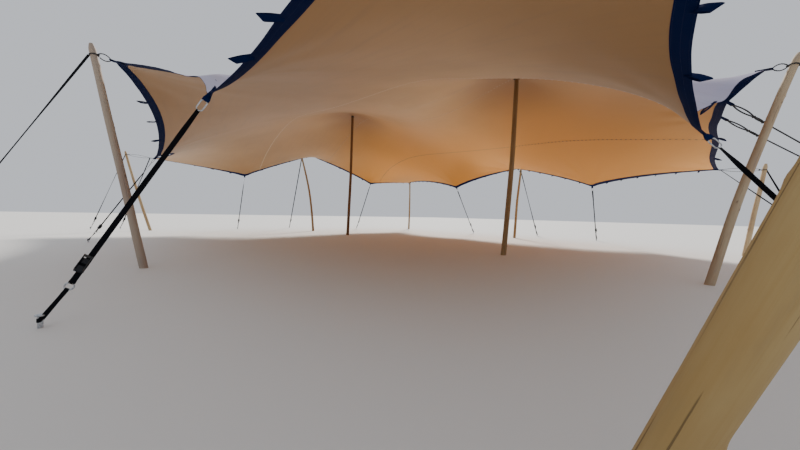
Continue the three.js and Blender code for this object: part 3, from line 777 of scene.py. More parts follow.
def grow(tree, base, inputs):  # runs a tree on an object and keeps the plain mesh it makes
    modifier = base.modifiers.new("grow", "NODES")
    modifier.node_group = tree
    for socket in tree.interface.items_tree:
        if socket.item_type == "SOCKET" and socket.in_out == "INPUT" and socket.name in inputs:
            modifier[socket.identifier] = inputs[socket.name]
    bpy.context.view_layer.update()
    evaluated = base.evaluated_get(bpy.context.evaluated_depsgraph_get())
    mesh = bpy.data.meshes.new_from_object(evaluated)
    base.modifiers.remove(modifier)
    bpy.data.objects.remove(base)
    return mesh


def pointsObject(points, edges=(), **vectors):
    mesh = bpy.data.meshes.new("seed_points")
    mesh.from_pydata(np.asarray(points, float).tolist(), list(edges), [])
    for name, value in vectors.items():
        vector = mesh.attributes.new(name, "FLOAT_VECTOR", "POINT")
        vector.data.foreach_set("vector", np.asarray(value, float).ravel())
    base = bpy.data.objects.new("seed_points", mesh)
    bpy.context.scene.collection.objects.link(base)
    return base


def piecesOnPointsTree():  # one small piece on every point, along one direction and facing another
    given = startTree("pieces_on_points", Piece="Object", Tilt="Vector", Seed="Int")
    node = given["Geometry"].node
    along, facing = (
        node("GeometryNodeInputNamedAttribute", {"data_type": "FLOAT_VECTOR"}, {"Name": name})
        for name in ("along", "facing")
    )
    first = node("FunctionNodeAlignRotationToVector", {"axis": "X"}, {"Vector": along})
    second = node(
        "FunctionNodeAlignRotationToVector", {"axis": "Z", "pivot_axis": "X"},
        {"Rotation": first, "Vector": facing},
    )
    least = node("ShaderNodeVectorMath", {"operation": "SCALE"}, {0: given["Tilt"], "Scale": -1.0})
    tilt = node(
        "FunctionNodeRandomValue", {"data_type": "FLOAT_VECTOR"},
        {0: least, 1: given["Tilt"], "Seed": given["Seed"]},
    )
    turn = node("FunctionNodeEulerToRotation", {}, {0: tilt})
    turned = {"Rotation": second, "Rotate By": turn}
    whole = node("FunctionNodeRotateRotation", {"rotation_space": "LOCAL"}, turned)
    piece = node("GeometryNodeObjectInfo", {}, {"Object": given["Piece"], "As Instance": True}, "Geometry")
    spread = {"Points": given["Geometry"], "Instance": piece, "Rotation": whole}
    return endTree(node("GeometryNodeInstanceOnPoints", {}, spread), given)


def sectionAlongPathTree():  # a closed outline drawn along paths, with its own coordinates kept
    given = startTree("section_along_path", Outline="Object", Twist="Float")
    node = given["Geometry"].node
    line = node("GeometryNodeMeshToCurve", {}, {"Mesh": given["Geometry"]})
    level = node("GeometryNodeSetCurveNormal", {"mode": "Z_UP"}, {"Curve": line})
    travel = node("GeometryNodeSplineParameter", out="Length")
    tilted = node("GeometryNodeSetCurveTilt", {}, {"Curve": level, "Tilt": travel * given["Twist"]})
    capture = "GeometryNodeCaptureAttribute"
    path = node(capture, {"captures": [("FLOAT", "Travel")]}, {0: tilted, 1: travel})
    outline = node("GeometryNodeObjectInfo", {}, {"Object": given["Outline"]}, "Geometry")
    section = node("GeometryNodeMeshToCurve", {}, {"Mesh": outline})
    corner = node("GeometryNodeInputPosition")
    profile = node(capture, {"captures": [("VECTOR", "Corner")]}, {0: section, 1: corner})
    skin = node("GeometryNodeCurveToMesh", {}, {"Curve": path, "Profile Curve": profile, "Fill Caps": True})
    parts = node("ShaderNodeSeparateXYZ", {}, {0: profile.beside(1)})
    place = node("ShaderNodeCombineXYZ", {}, {0: parts, 1: parts.beside(1), 2: path.beside(1)})
    stored = node(
        "GeometryNodeStoreNamedAttribute", {"data_type": "FLOAT_VECTOR", "domain": "POINT"},
        {"Geometry": skin, "Name": "own", "Value": place},
    )
    return endTree(stored, given)


piecesOnPoints = piecesOnPointsTree()
sectionAlongPath = sectionAlongPathTree()


def outlineObject(radius, sides, lobes=0, depth=0.0):
    turns = turnsOf(sides)
    reach = radius * (1 + depth * np.cos(lobes * turns))
    points = columns(reach * np.cos(turns), reach * np.sin(turns), 0)
    return pointsObject(points, [(k, (k + 1) % sides) for k in range(sides)])


outlines = {  # what is drawn along a path: radius, corners, strands and their depth, then twist per metre
    "rope": (outlineObject(0.0075, 18, 3, 0.14), 95.0),
    "thickRope": (outlineObject(0.0108, 18, 3, 0.14), 75.0),
    "thinRope": (outlineObject(0.0045, 15, 3, 0.14), 130.0),
    "bar": (outlineObject(0.006, 10), 0.0), "ring": (outlineObject(0.0065, 10), 0.0),
}


def addDrawn(heap, kind, paths, closed=False):  # an outline drawn along one or more paths
    points, edges = [], []
    for path in paths:
        start = len(points)
        points += [tuple(p) for p in path]
        edges += [(k, k + 1) for k in range(start, len(points) - 1)]
        if closed:
            edges.append((len(points) - 1, start))
    outline, twist = outlines[kind]
    inputs = {"Outline": outline, "Twist": twist}
    heap.add(*meshParts(grow(sectionAlongPath, pointsObject(points, edges), inputs)))


def meshParts(mesh):  # a grown mesh's points, faces and own coordinates, for a heap
    count = len(mesh.vertices)
    points, places = np.zeros(count * 3), np.zeros(count * 3)
    mesh.vertices.foreach_get("co", points)
    own = mesh.attributes.get("own")
    if own is not None:
        own.data.foreach_get("vector", places)
    faces = [tuple(p.vertices) for p in mesh.polygons]
    bpy.data.meshes.remove(mesh)
    return points.reshape(-1, 3), faces, places.reshape(-1, 3)


def nodesCalled(start):
    return sorted(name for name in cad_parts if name.startswith(start))


def put(piece, slot, *nodes):
    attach(piece, "root")
    if nodes:
        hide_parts(*nodes)
    return piece


print("stage: tools")

# Rim bands: webbing sewn under the edge of the sheet
bandLook = {
    "width": 0.13, "proud": 0.0026, "top": 0.0003, "perStep": 8, "probe": 0.5,
    "nearCorner": (0.50, 7.0, 10.0), "insets": (0.25, 0.95), "stitchRows": (0.09, 0.5, 0.91),
    "pitch": 0.012, "stitch": (0.009, 0.0016, 0.0012), "stitchEnds": 0.3, "ahead": 0.04,
    "over": (1.0, 0.75, 0.5, 0.25, 0.02),  # share of the width
    "edge": ((0.0012, 0.0015), (-0.00164, 0.0030), (-0.003485, 0.0018)),  # height, and how far out
    "under": (  # share of the width, and how far down the webbing is there, less at the rows of stitches
        (0.03, 1), (0.09, 0.9), (0.15, 1), (0.35, 1), (0.46, 1), (0.5, 0.9), (0.54, 1), (0.7, 1), (0.85, 1),
        (0.91, 0.9), (0.965, 1), (0.995, 0.8),
    ),
}
rimSides = {"south": (0, 60), "west": (60, 100), "north": (100, 160), "east": (160, 200)}


def bandInset(steps):  # grid steps that make the band's width, which differ where the cloth is stretched
    probe = smoothAt(*rimPlace(steps, bandLook["probe"])) - smoothAt(*rimPlace(steps))
    more, full, none = bandLook["nearCorner"]  # the band is wider towards the near corner
    fade = np.clip((none - np.minimum(steps, stepsRound - steps)) / (none - full), 0, 1)
    width = bandLook["width"] * (1 + more * ease(fade))
    return np.clip(bandLook["probe"] * width / np.linalg.norm(probe, axis=-1), *bandLook["insets"])


def bandAt(steps, share, height, reach=0.0):  # a place on the band, share 0 at its edge, 1 at its inner side
    u0, v0 = rimPlace(steps)
    u1, v1 = rimPlace(steps, bandInset(steps))
    u, v = u0 + (u1 - u0) * share, v0 + (v1 - v0) * share
    outwards = unit(smoothAt(u0, v0) - smoothAt(u1, v1))
    return clothAt(u, v) + facingAt(u, v) * height + outwards * reach


# Canopy: outer face, inner face and the edge between them, in one closed sheet
canopyLook = {"perStep": 4, "underBand": 0.0018, "thinTo": 0.75}


def bandShare(u, v):  # 0 at the rim, 1 at the band's inner edge, more inside it
    gaps = [(v, stepsLong - u), (u, stepsLong + v)]
    gaps += [(stepsWide - v, stepsLong + stepsWide + u), (stepsLong - u, stepsRound - v)]
    return np.min([gap / bandInset(steps) for gap, steps in gaps], axis=0)


def makeCanopy():
    us, vs = (np.linspace(0, steps, steps * canopyLook["perStep"] + 1) for steps in (stepsLong, stepsWide))
    u, v = np.meshgrid(us, vs, indexing="ij")
    middle, facing, half = clothAt(u, v), facingAt(u, v), cut["thick"] / 2
    share = np.clip((bandShare(u, v) - canopyLook["thinTo"]) / (1 - canopyLook["thinTo"]), 0, 1)[..., None]
    lower = half - canopyLook["underBand"] * (1 - share)
    points = np.stack([middle + facing * half, middle - facing * lower])
    places = columns(u * longStep, v * wideStep, 0)
    index = np.arange(u.size).reshape(u.shape)
    top = np.stack([index[:-1, :-1], index[1:, :-1], index[1:, 1:], index[:-1, 1:]], -1).reshape(-1, 4)
    under = top[:, [0, 3, 2, 1]] + u.size
    border = np.concatenate([index[:, 0], index[-1, 1:], index[-2::-1, -1], index[0, -2:0:-1]])
    after = np.roll(border, -1)
    wall = np.stack([border, border + u.size, after + u.size, after], 1)
    faces = [tuple(face) for face in np.concatenate([top, under, wall]).tolist()]
    looks = [0] * len(top) + [1] * len(under) + [0] * len(wall)
    heap = Heap().add(points, faces, np.stack([places, places]), looks)
    return heap.piece("canopy", [clothOutside, clothInside])


canopy = put(makeCanopy(), "canopy_fabric", *nodesCalled("canopy_panel"))
print("stage: canopy")

# Weld strips along the seams, with their stitches
seamLook = {
    "width": 0.030, "proud": 0.0012, "rows": 0.009, "ends": 0.4, "places": 420, "drawn": 0.01,
    "section": ((-1, 0), (-0.8, 1), (0.8, 1), (1, 0), (0.8, -1), (-0.8, -1)), "stitchEnds": 1.0,
    "pale": ((0.030, 0.0050, 0.0022), 0.080), "dark": ((0.052, 0.0110, 0.0026), 0.115), "darkSeams": (32,),
    "ahead": 0.05,
}


def makeSeams():
    heap = Heap()
    us = np.linspace(seamLook["ends"], stepsLong - seamLook["ends"], seamLook["places"])
    half = seamLook["width"] / 2 / wideStep
    for seam in cut["seams"]:
        for look, side in enumerate((1, -1)):
            rings, places = [], []
            for share, lift in seamLook["section"]:
                v = np.full(us.shape, seam + share * half)
                reach = side * (cut["thick"] / 2 + lift * seamLook["proud"])
                rings.append(clothAt(us, v) + facingAt(us, v) * reach)
                places.append(columns(us * longStep, seam * wideStep + share * seamLook["drawn"], 0))
            points, faces = loft(np.stack(rings, 1))
            heap.add(points, faces, np.stack(places, 1), look)
    return heap.piece("canopy_seam_welds", [clothOutside, clothInside])


seams = put(makeSeams(), "canopy_fabric")
stitchLook = {  # thickness along a stitch, its sides and where they start; plain ones are for long rows
    "full": (((-0.5, 0.3), (-0.35, 0.85), (0, 1.0), (0.35, 0.85), (0.5, 0.3)), 6, 0.0),
    "plain": (((-0.5, 0.4), (0, 1.0), (0.5, 0.4)), 3, math.pi / 2), "tilt": (0.0, 0.05, 0.12), "seed": 3,
}


def stitched(name, rows, size, material, kind="full"):  # each row is its places, ways ahead and facings
    (length, width, height), (stations, sides, start) = size, stitchLook[kind]
    turns = start + turnsOf(sides)
    ring = columns(0, width / 2 * np.cos(turns), height / 2 * np.sin(turns))
    skin = loft([thick * ring + (share * length, 0, 0) for share, thick in stations])
    one = Heap().add(*skin).piece("one_stitch", [])
    places, ahead, facing = (np.concatenate(part) for part in zip(*rows))
    inputs = {"Piece": one, "Tilt": stitchLook["tilt"], "Seed": stitchLook["seed"], "Material": material}
    mesh = grow(piecesOnPoints, pointsObject(places, along=ahead, facing=facing), inputs)
    bpy.data.objects.remove(one)
    points, faces, _ = meshParts(mesh)
    return Heap().add(points, faces).piece(name, [material])


def seamRows(chosen, pitch):
    us = np.arange(seamLook["stitchEnds"], stepsLong - seamLook["stitchEnds"], pitch / longStep)
    for seam in chosen:
        for row in (-1, 1):
            v = np.full(us.shape, seam + row * seamLook["rows"] / wideStep)
            facing, middle = -facingAt(us, v), clothAt(us, v)
            place = middle + facing * (cut["thick"] / 2 + seamLook["proud"])
            yield place, unit(clothAt(us + seamLook["ahead"], v) - middle), facing


# the pale stitches are on the ridge seam only; their pale colour is the thread and a painted highlight along
# the ridge
for name, thread in (("pale", paleHighlightThread), ("dark", darkThread)):
    size, pitch = seamLook[name]
    chosen = [seam for seam in cut["seams"] if (seam in seamLook["darkSeams"]) == (name == "dark")]
    piece = stitched(f"canopy_{name}_stitches", seamRows(chosen, pitch), size, thread)
    put(piece, "canopy_fabric")
print("stage: seams")


def makeBand(start, end):
    steps = np.linspace(start, end, (end - start) * bandLook["perStep"] + 1)
    low = -cut["thick"] / 2 - bandLook["proud"]
    section = [(share, bandLook["top"], 0) for share in bandLook["over"]]
    section += [(0.0, height, out) for height, out in bandLook["edge"]]
    section += [(share, low * deep, 0) for share, deep in bandLook["under"]]
    travel = travelAlong(clothAt(*rimPlace(steps)))
    rings = [bandAt(steps, *corner) for corner in section]
    places = [columns(share * bandLook["width"], height, travel) for share, height, _ in section]
    points, faces = loft(np.stack(rings, 1))
    return Heap().add(points, faces, np.stack(places, 1))


bandHeaps = {side: makeBand(*steps) for side, steps in rimSides.items()}

# Webbing loops that stand out of the band
loopLook = {
    "first": 0.4, "every": 2.0, "clearOfTie": 1.5, "width": 0.050, "thick": 0.0026, "slant": 0.17,
    "stem": (  # how far out, and half the opening there
        (-0.045, 0.0020), (-0.015, 0.0026), (0.006, 0.0060), (0.022, 0.009375), (0.042, 0.0125),
        (0.070, 0.0125), (0.094, 0.01125), (0.122, 0.0090), (0.129, 0.0050), (0.132, 0.0),
    ),
    "below": 0.0030, "tilt": (0.20, 0.22, 0.15), "seed": 11,
    "lift": {"south": 0.0, "west": 0.5, "north": 1.6, "east": -0.25},
    "swing": {"south": 0.85, "east": -0.30}, "faceOn": 0.80, "edgeOn": 0.55,
}
loopSteps = {  # where the loops can be counted
    "south": (2.5, 4.6, 6.6, 8.6, 10.15, 28.2, 31.0, 34.4, 43.0, 48.0, 53.0, 57.0),
    "east": (163.5, 168.3, 184.7, 190.6, 192.7, 195.2, 197.6),
}
hangingLoops = {184.7: (-0.80, 0.45, -0.30)}  # lies the other way
# Swung along the rim, with their flat side to the camera
openLoops = (4.6, 6.6, 8.6, 10.15, 190.6, 192.7, 195.2, 197.6)


def foldedWebbing(path, width, thick, slant=0.0, acrossCount=4):  # a strip along a path in the XZ plane
    path = np.asarray(path, float)
    ahead = unit(np.gradient(path, axis=0))
    normal = columns(-ahead[:, 2], 0, ahead[:, 0])
    ys = np.linspace(-0.5, 0.5, acrossCount + 1)
    rings, places = [], []
    for side, row in ((1, ys), (-1, ys[::-1])):
        line = path + normal * side * thick / 2
        for y in row:
            rings.append(line + columns(np.clip(line[:, 0], 0, None) * slant * y * 2, y * width, 0))
            places.append(columns(y * width, side * thick, travelAlong(path)))
    points, faces = loft(np.stack(rings, 1))
    return points, faces, np.stack(places, 1)


def makeLoops():
    look = loopLook
    path = [(x, 0, z) for x, z in look["stem"]]
    path += [(x, 0, -z) for x, _, z in path[-2::-1]]
    strip = foldedWebbing(path, look["width"], look["thick"], look["slant"])
    one = Heap().add(*strip).piece("one_loop", [])
    tied = [step for _, step, _, _ in rim] + [stepsRound]
    for number, (side, (start, end)) in enumerate(rimSides.items()):
        even = [step for step in np.arange(start + look["first"], end, look["every"])
                if min(abs(t - step) for t in tied) >= look["clearOfTie"]]
        steps = np.array(loopSteps.get(side, even))
        opened = np.isin(steps, openLoops)[:, None]
        place = bandAt(steps, 0, -look["below"])
        flat, facing = unit(place - bandAt(steps, 1, 0)), facingAt(*rimPlace(steps))
        alongRim = unit(bandAt(steps + 0.5, 0, 0) - bandAt(steps - 0.5, 0, 0))
        out = unit(flat + look["lift"][side] * facing)
        out = unit(out + opened * look["swing"].get(side, 0.0) * alongRim)
        for step, way in hangingLoops.items():
            out[steps == step] = unit(way)
        sight = unit(place - np.array(photo["eye"]))
        shown = look["edgeOn"] * np.cross(out, sight) - look["faceOn"] * sight
        facing = np.where(opened, shown, facing)
        facing = unit(facing - (facing * out).sum(1)[:, None] * out)
        upper = np.cross(facing, out)[:, 2:] >= 0  # the longer edge is the upper one
        seeds = pointsObject(place, along=out, facing=np.where(upper, facing, -facing))
        inputs = {"Piece": one, "Tilt": look["tilt"], "Seed": look["seed"] + number, "Material": bandWebbing}
        mesh = grow(piecesOnPoints, seeds, inputs)
        bandHeaps[side].add(*meshParts(mesh))
    bpy.data.objects.remove(one)


makeLoops()

# Tongues at the tied points, folded round the near end of each link
linkLook = {
    "radius": 0.026, "straight": 0.064, "bar": 0.006, "tongueReach": 0.060, "gap": 0.0003, "corners": 20,
}
tongueLook = {
    "width": 0.060, "thick": 0.0034, "sewn": ((-0.095, 0, 0.0045), (-0.04, 0, 0.0050), (0.0, 0, 0.0060)),
    "narrows": 0.022, "slack": 0.0006, "bends": 9, "turnFrom": -0.02, "turnOver": 0.075,
    "patch": (0.085, 0.054, 0.0175), "patchAt": (-0.035, 0, 0), "patchBevel": 0.003,
}
rolls = {  # degrees that a strap is rolled about its run
    "south_right": 85, "east_left": 70, "south": 60, "west_right": 30, "north_left": -35, "west_left": -40,
}
rimPoleRadius, innerPoleRadius = (0.056, 0.043), (0.062, 0.050)  # at the foot and at the top
collarLook = {
    "belowTop": 0.170, "turns": 2, "corners": 40, "pitch": 0.0098, "rope": 0.0045, "gap": 0.0015,
    "hold": 0.008,
}
stakeLook = {
    "eye": 0.058, "spacing": 0.024, "radius": 0.016, "sides": 26, "headFrom": 0.088, "dents": 0.0009,
    "seed": 60,
}


def poleLine(foot, top, bow):
    foot, top, side = np.array(foot, float), np.array(top, float), np.array([*bow, 0.0])
    return lambda share: foot + (top - foot) * share + side * math.sin(math.pi * share)


def collarOf(foot, top, bow):  # where the rope goes round a pole
    run = np.subtract(top, foot)
    share = 1 - collarLook["belowTop"] / np.linalg.norm(run)
    radius = rimPoleRadius[0] + (rimPoleRadius[1] - rimPoleRadius[0]) * share
    return {"centre": poleLine(foot, top, bow)(share), "axis": unit(run), "radius": radius}


collars = {name: collarOf(foot, top, bow) for name, foot, top, _, bow in rimPoles}


def levelAcross(run, roll=0.0):  # a level direction across a run, rolled about it
    level = unit(np.cross(up, run))
    return math.cos(roll) * level + math.sin(roll) * np.cross(run, level)


def pullFrom(name):  # the way a tied point is pulled
    if name in collars:
        return unit(collars[name]["centre"] - tips[name])
    return unit(np.array([*tieStakes.get(name, sideRopeStake), stakeLook["eye"]]) - tips[name])


def linkOf(name):  # centre, lengthwise and level directions, and its near and far ends
    pull = pullFrom(name)
    half = linkLook["straight"] / 2 + linkLook["radius"]
    centre = tips[name] + pull * (linkLook["tongueReach"] + linkLook["gap"] + half + linkLook["bar"])
    roll = math.radians(rolls.get(name, 0) if name in tieStakes else 0)
    return {
        "near": centre - pull * half, "centre": centre, "far": centre + pull * half, "roll": roll,
        "pull": pull, "flat": levelAcross(pull), "level": levelAcross(pull, roll),
    }


def addTongues():
    look = tongueLook
    reach = linkLook["tongueReach"] + linkLook["gap"] + linkLook["bar"]
    wrap = linkLook["bar"] + look["thick"] / 2 + look["slack"]
    path = [*look["sewn"], (reach - look["narrows"], 0, wrap)]
    turns = np.linspace(math.pi / 2, -math.pi / 2, look["bends"])
    bend = columns(reach + wrap * np.cos(turns), 0, wrap * np.sin(turns))
    path = [*path, *bend, *((x, 0, -z) for x, _, z in path[::-1])]
    points, faces, places = foldedWebbing(path, look["width"], look["thick"], acrossCount=6)
    patch, patchFaces = block(np.array(look["patchAt"]), np.eye(3), look["patch"], look["patchBevel"])
    x, y, z = points.T
    share = ease(np.clip((x - look["turnFrom"]) / look["turnOver"], 0, 1))
    for name, step, _, _ in rim:
        heap = bandHeaps[next(side for side, (_, end) in rimSides.items() if step < end)]
        link = linkOf(name)
        axes = (link["pull"], link["flat"], np.cross(link["pull"], link["flat"]))
        cos, sin = np.cos(link["roll"] * share), np.sin(link["roll"] * share)
        twisted = columns(x, y * cos - z * sin, y * sin + z * cos)
        heap.add(placed(twisted, tips[name], *axes), faces, places)
        heap.add(placed(patch, tips[name], *axes), patchFaces, np.roll(patch, 1, axis=1))


addTongues()
bands = [put(heap.piece(f"band_{side}", [bandWebbing]), "rim_webbing", *nodesCalled(f"rim_band_{side}"))
         for side, heap in bandHeaps.items()]


def bandRows():
    height = -cut["thick"] / 2 - bandLook["proud"]
    ends, pitch = bandLook["stitchEnds"], bandLook["pitch"] / longStep
    for start, end in rimSides.values():
        steps = np.arange(start + ends, end - ends, pitch)
        for share in bandLook["stitchRows"]:
            here = bandAt(steps, share, height)
            ahead = unit(bandAt(steps + bandLook["ahead"], share, height) - here)
            yield here, ahead, -facingAt(*rimPlace(steps))


bandStitches = stitched("band_stitches", bandRows(), bandLook["stitch"], darkThread, "plain")
put(bandStitches, "rim_webbing")
print("stage: bands")

# Peeled poles with knots, bends and drying cracks
poleLook = {
    "sides": 40, "spacing": 0.025, "frontSides": 110, "frontSpacing": 0.010, "rough": 0.030,
    "drift": 0.004, "driftPace": 9, "driftAside": 0.7, "knots": 9, "knotOut": 0.007,
    "knotSize": (0.011, 0.020), "knotLong": 1.6, "knotFrom": 0.2, "knotTo": 0.3,
    "crackDepth": 0.006, "crackWidth": 0.0026, "crackFade": 9, "crackWander": 3, "crackPace": 23,
    "tip": 0.09, "tipShare": 0.5, "tipRound": 0.8, "facet": 0.10, "facets": 5,
    "bumps": 7, "bumpOrders": (1, 6), "bumpPaces": (0.8, 9.0), "seed": 20, "innerSeed": 40,
}
frontCracks = [  # along the pole from its foot, and turn about it in degrees, from one end to the other
    ((2.30, 160), (1.55, 168)), ((1.62, 186), (1.12, 192)), ((0.95, 172), (0.60, 180)),
    ((2.75, 205), (2.05, 200)),
]
poleTones = {  # old brown, which on the inner poles is painted shade from the canopy, ash grey, khaki
    # painted shade: the inner poles stand under the canopy and are painted mostly old brown
    "east": (0.12, 0.35, 0.0), "south_east": (0.0, 0.0, 0.62), "inner_east": (0.62, 0.0, 0.2),
    "inner_west": (0.96, 0.0, 0.0), "west": (0.45, 0.1, 0.1), "north": (0.35, 0.0, 0.2),
    "south": (0.1, 0.62, 0.0), "north_east": (0.0, 0.15, 0.0), "others": (0.2, 0.15, 0.1),
}


def waves(turns, stations, seed):  # slow bumps that close round the pole
    local = np.random.default_rng(seed)
    total = np.zeros((len(stations), len(turns)))
    for _ in range(poleLook["bumps"]):
        order, pace = local.integers(*poleLook["bumpOrders"]), local.uniform(*poleLook["bumpPaces"])
        phase = local.uniform(0, 2 * math.pi)
        total += np.sin(order * turns[None, :] + pace * stations[:, None] + phase) / order
    return total / poleLook["bumps"]


def turnBetween(turns, turn):
    return (turns - turn + math.pi) % (2 * math.pi) - math.pi


def makePole(name, foot, top, bow, radii, pointed, seed, front=False):
    look = poleLook
    local = np.random.default_rng(seed)
    foot, top = np.array(foot, float), np.array(top, float)
    length = np.linalg.norm(top - foot)
    axis = (top - foot) / length
    first, second = across(axis)
    count = int(length / (look["frontSpacing"] if front else look["spacing"])) + 1
    turns = turnsOf(look["frontSides"] if front else look["sides"])
    stations = np.linspace(0, length, count)
    shares = stations / length
    line = poleLine(foot, top, bow)
    drift = look["drift"] * np.sin(shares * look["driftPace"] + seed) * np.sin(math.pi * shares)
    centres = np.array([line(s) for s in shares]) + drift[:, None] * first
    centres += look["driftAside"] * drift[::-1, None] * second
    radius = radii[0] + (radii[1] - radii[0]) * shares[:, None]
    radius = radius * (1 + look["rough"] * waves(turns, stations, seed))
    knots, cracks = np.zeros(radius.shape), np.zeros(radius.shape)
    for _ in range(look["knots"]):
        at = local.uniform(look["knotFrom"], length - look["knotTo"])
        turn, size = local.uniform(0, 2 * math.pi), local.uniform(*look["knotSize"])
        along, aside = (stations[:, None] - at) / look["knotLong"], turnBetween(turns, turn) * radii[0]
        away = np.hypot(along, aside) / size
        radius += look["knotOut"] * np.exp(-(away**2)) * size / look["knotSize"][1]
        knots = np.maximum(knots, np.exp(-((away * look["knotLong"]) ** 4)))
    for (fromAlong, fromTurn), (toAlong, toTurn) in frontCracks if front else ():
        share = np.clip((stations - fromAlong) / (toAlong - fromAlong), 0, 1)[:, None]
        inside = np.clip(np.minimum(share, 1 - share) * look["crackFade"], 0, 1)
        wander = look["crackWander"] * np.sin(stations[:, None] * look["crackPace"])
        turn = np.radians(fromTurn + (toTurn - fromTurn) * share + wander)
        near = np.exp(-((turnBetween(turns, turn) * radii[0] / look["crackWidth"]) ** 2)) * inside
        cracks = np.maximum(cracks, near)
    radius -= look["crackDepth"] * cracks
    if pointed:
        left = np.clip((length - stations) / look["tip"], 0, 1)[:, None]
        narrow = look["tipShare"] * (1 + look["facet"] * np.cos(look["facets"] * turns + seed))
        radius *= np.where(left < 1, narrow + (1 - narrow) * left ** look["tipRound"], 1.0)
    rings = centres[:, None, :] + radius[..., None] * waysRound(first, second, turns)
    rings[0] += axis * (-rings[0][:, 2:] / axis[2])  # sawn level at the foot
    if not pointed:
        rings[-1] += axis * ((top[2] - rings[-1][:, 2:]) / axis[2])
    points, faces = loft(rings)
    places = columns(radius * np.cos(turns), radius * np.sin(turns), stations[:, None])
    places += local.uniform(0, 5, 3)  # so that no two poles have the same grain
    looks = [0] * (len(faces) - 2) + [1, 1]
    numbers = dict(zip(("old", "ash", "khaki"), poleTones.get(name, poleTones["others"])))
    heap = Heap().add(points, faces, places, looks, knot=knots.ravel(), crack=cracks.ravel(), **numbers)
    return heap.piece(f"wood_{name}", [peeledWood, endGrain])


for number, (name, foot, top, _, bow) in enumerate(rimPoles):
    seed = poleLook["seed"] + number
    pole = makePole(name, foot, top, bow, rimPoleRadius, True, seed, name == "south_east")
    put(pole, "pole_wood", f"pole_{name}")

headLook = {
    "radius": 0.070, "drop": 0.046, "skirt": 0.012, "clear": 0.0039, "sides": 48, "centre": 0.001,
    # The skirt from below: share of the radius, and height above its lower edge
    "side": ((0.78, 0), (0.84, 0.002), (0.84, 0.004), (0.96, 0.006), (1, 0.009), (1, 0.011)),
    "dome": (0.08, 1.5, 12), "domeRound": 0.9,
}


def headProfile():
    radius, drop, low = headLook["radius"], headLook["drop"], -headLook["drop"] - headLook["skirt"]
    side = [(radius * share, low + rise) for share, rise in headLook["side"]]
    turns = np.linspace(*headLook["dome"])
    dome = [(radius * math.cos(t) ** headLook["domeRound"], drop * (math.sin(t) - 1)) for t in turns]
    return [(headLook["centre"], low), *side, *dome, (headLook["centre"], 0.0)]


for number, (name, _, foot, peak, _, bow) in enumerate(innerPoles):
    crown = np.array(peak, float) - up * headLook["clear"]
    seat = crown - up * (headLook["drop"] + headLook["skirt"] + linkLook["gap"])
    seed = poleLook["innerSeed"] + number
    pole = makePole(f"inner_{name}", foot, seat, bow, innerPoleRadius, False, seed)
    put(pole, "pole_wood", f"inner_pole_{name}")
    cap = Heap().add(*turned(headProfile(), crown, up, headLook["sides"]))
    put(cap.piece(f"pole_cap_{name}", [blackRubber]), "head_rubber", f"inner_pole_head_{name}")
print("stage: poles")

# Stakes: round bar with a hammered head
stakeProfile = [
    (0.0155, 0.0), (0.016, 0.004), (0.016, 0.080), (0.0175, 0.087), (0.027, 0.0895), (0.0320, 0.093),
    (0.0325, 0.098), (0.0295, 0.1020), (0.017, 0.104), (0.004, 0.1035),
]


def makeStake(name, place, seed):
    points, faces = turned(stakeProfile, np.array([*place, 0.0]), up, stakeLook["sides"])
    head = points[:, 2] > stakeLook["headFrom"]
    points[head, :2] += np.random.default_rng(seed).normal(0, stakeLook["dents"], (head.sum(), 2))
    put(Heap().add(points, faces).piece(f"peg_{name}", [bareSteel]), "galvanised_steel", f"stake_{name}")


stakePlaces = {name: stake for name, _, _, stake, _ in rimPoles}
stakePlaces.update(tieStakes)
stakePlaces.update({f"corner_{name}": place for name, place in cornerStakes.items()})
stakePlaces["side_ropes"] = sideRopeStake
for number, (name, place) in enumerate(stakePlaces.items()):
    makeStake(name, place, stakeLook["seed"] + number)

# Straps, with their ratchets, hook rings and slings
strapLook = {
    "width": 0.042, "thick": 0.0026, "spacing": 0.03, "eased": 0.35, "ratchet": 0.385, "hook": 0.272,
    "hookRadius": 0.028, "twistFrom": 0.72, "lower": (0.030, -0.015), "lowerWidth": 0.96,
    "tail": (0.020, 0.200), "tailLift": 0.0048, "tailWidth": 0.94,
    "fold": 0.0085, "foldAt": 0.033, "foldEnds": ((0.05, 0, 0.0050), (0.05, 0, -0.0030)), "bends": 9,
    "slingRadius": 0.0224, "slingWidth": 0.029, "slingThick": 0.0030, "slingGap": 0.003, "slingTop": 0.024,
    "slingApart": 0.006, "slingRun": (1, 0.04, 12), "slingBends": 15, "ringCorners": 28,
}
ratchetLook = {  # places along the strap, aside and out from the middle of the body, then sizes
    "length": 0.120, "lean": 0.010, "cheeks": ((0, 0.027, 0), (0.120, 0.02788, 0.0028)),
    "handles": ((0.026, 0.0255, 0.019), (0.132, 0.022, 0.0026)),
    "boltsAlong": (-0.048, -0.006, 0.0432), "bolt": 0.0055,
    "spool": 0.005, "wheelAside": 0.0275, "teeth": 16, "toothReach": (0.0165, 0.0022), "wheelHalf": 0.0012,
    "rods": (  # the split spool, lower bar and grip: along, half the length, out, radius, sides, finish
        (0.005, 0.028, -0.0045, 0.0045, 14, 1), (0.005, 0.028, 0.0045, 0.0045, 14, 1),
        (-0.048, 0.028, 0, 0.0050, 14, 1), (0.080, 0.026, 0.020, 0.0095, 18, 2),
    ),
    "pawl": ((0.030, 0, 0.006), (0.056, 0.050, 0.0050), 0.0010),
    "cover": ((-0.026, 0, 0.012), (0.056, 0.050, 0.0150), 0.0030),
    "wound": 3.2, "woundPlaces": 70, "woundFrom": 0.0085, "woundPitch": 0.0021, "woundWidth": 0.046,
    "woundThick": 0.0017,
}


def flatOutline(width, thick):  # the section of webbing, with eased edges
    a, b, e = width / 2, thick / 2, thick * strapLook["eased"]
    half = [(a, -b + e), (a, b - e), (a - e, b), (0, b), (e - a, b)]
    return half + [(-x, -y) for x, y in half]


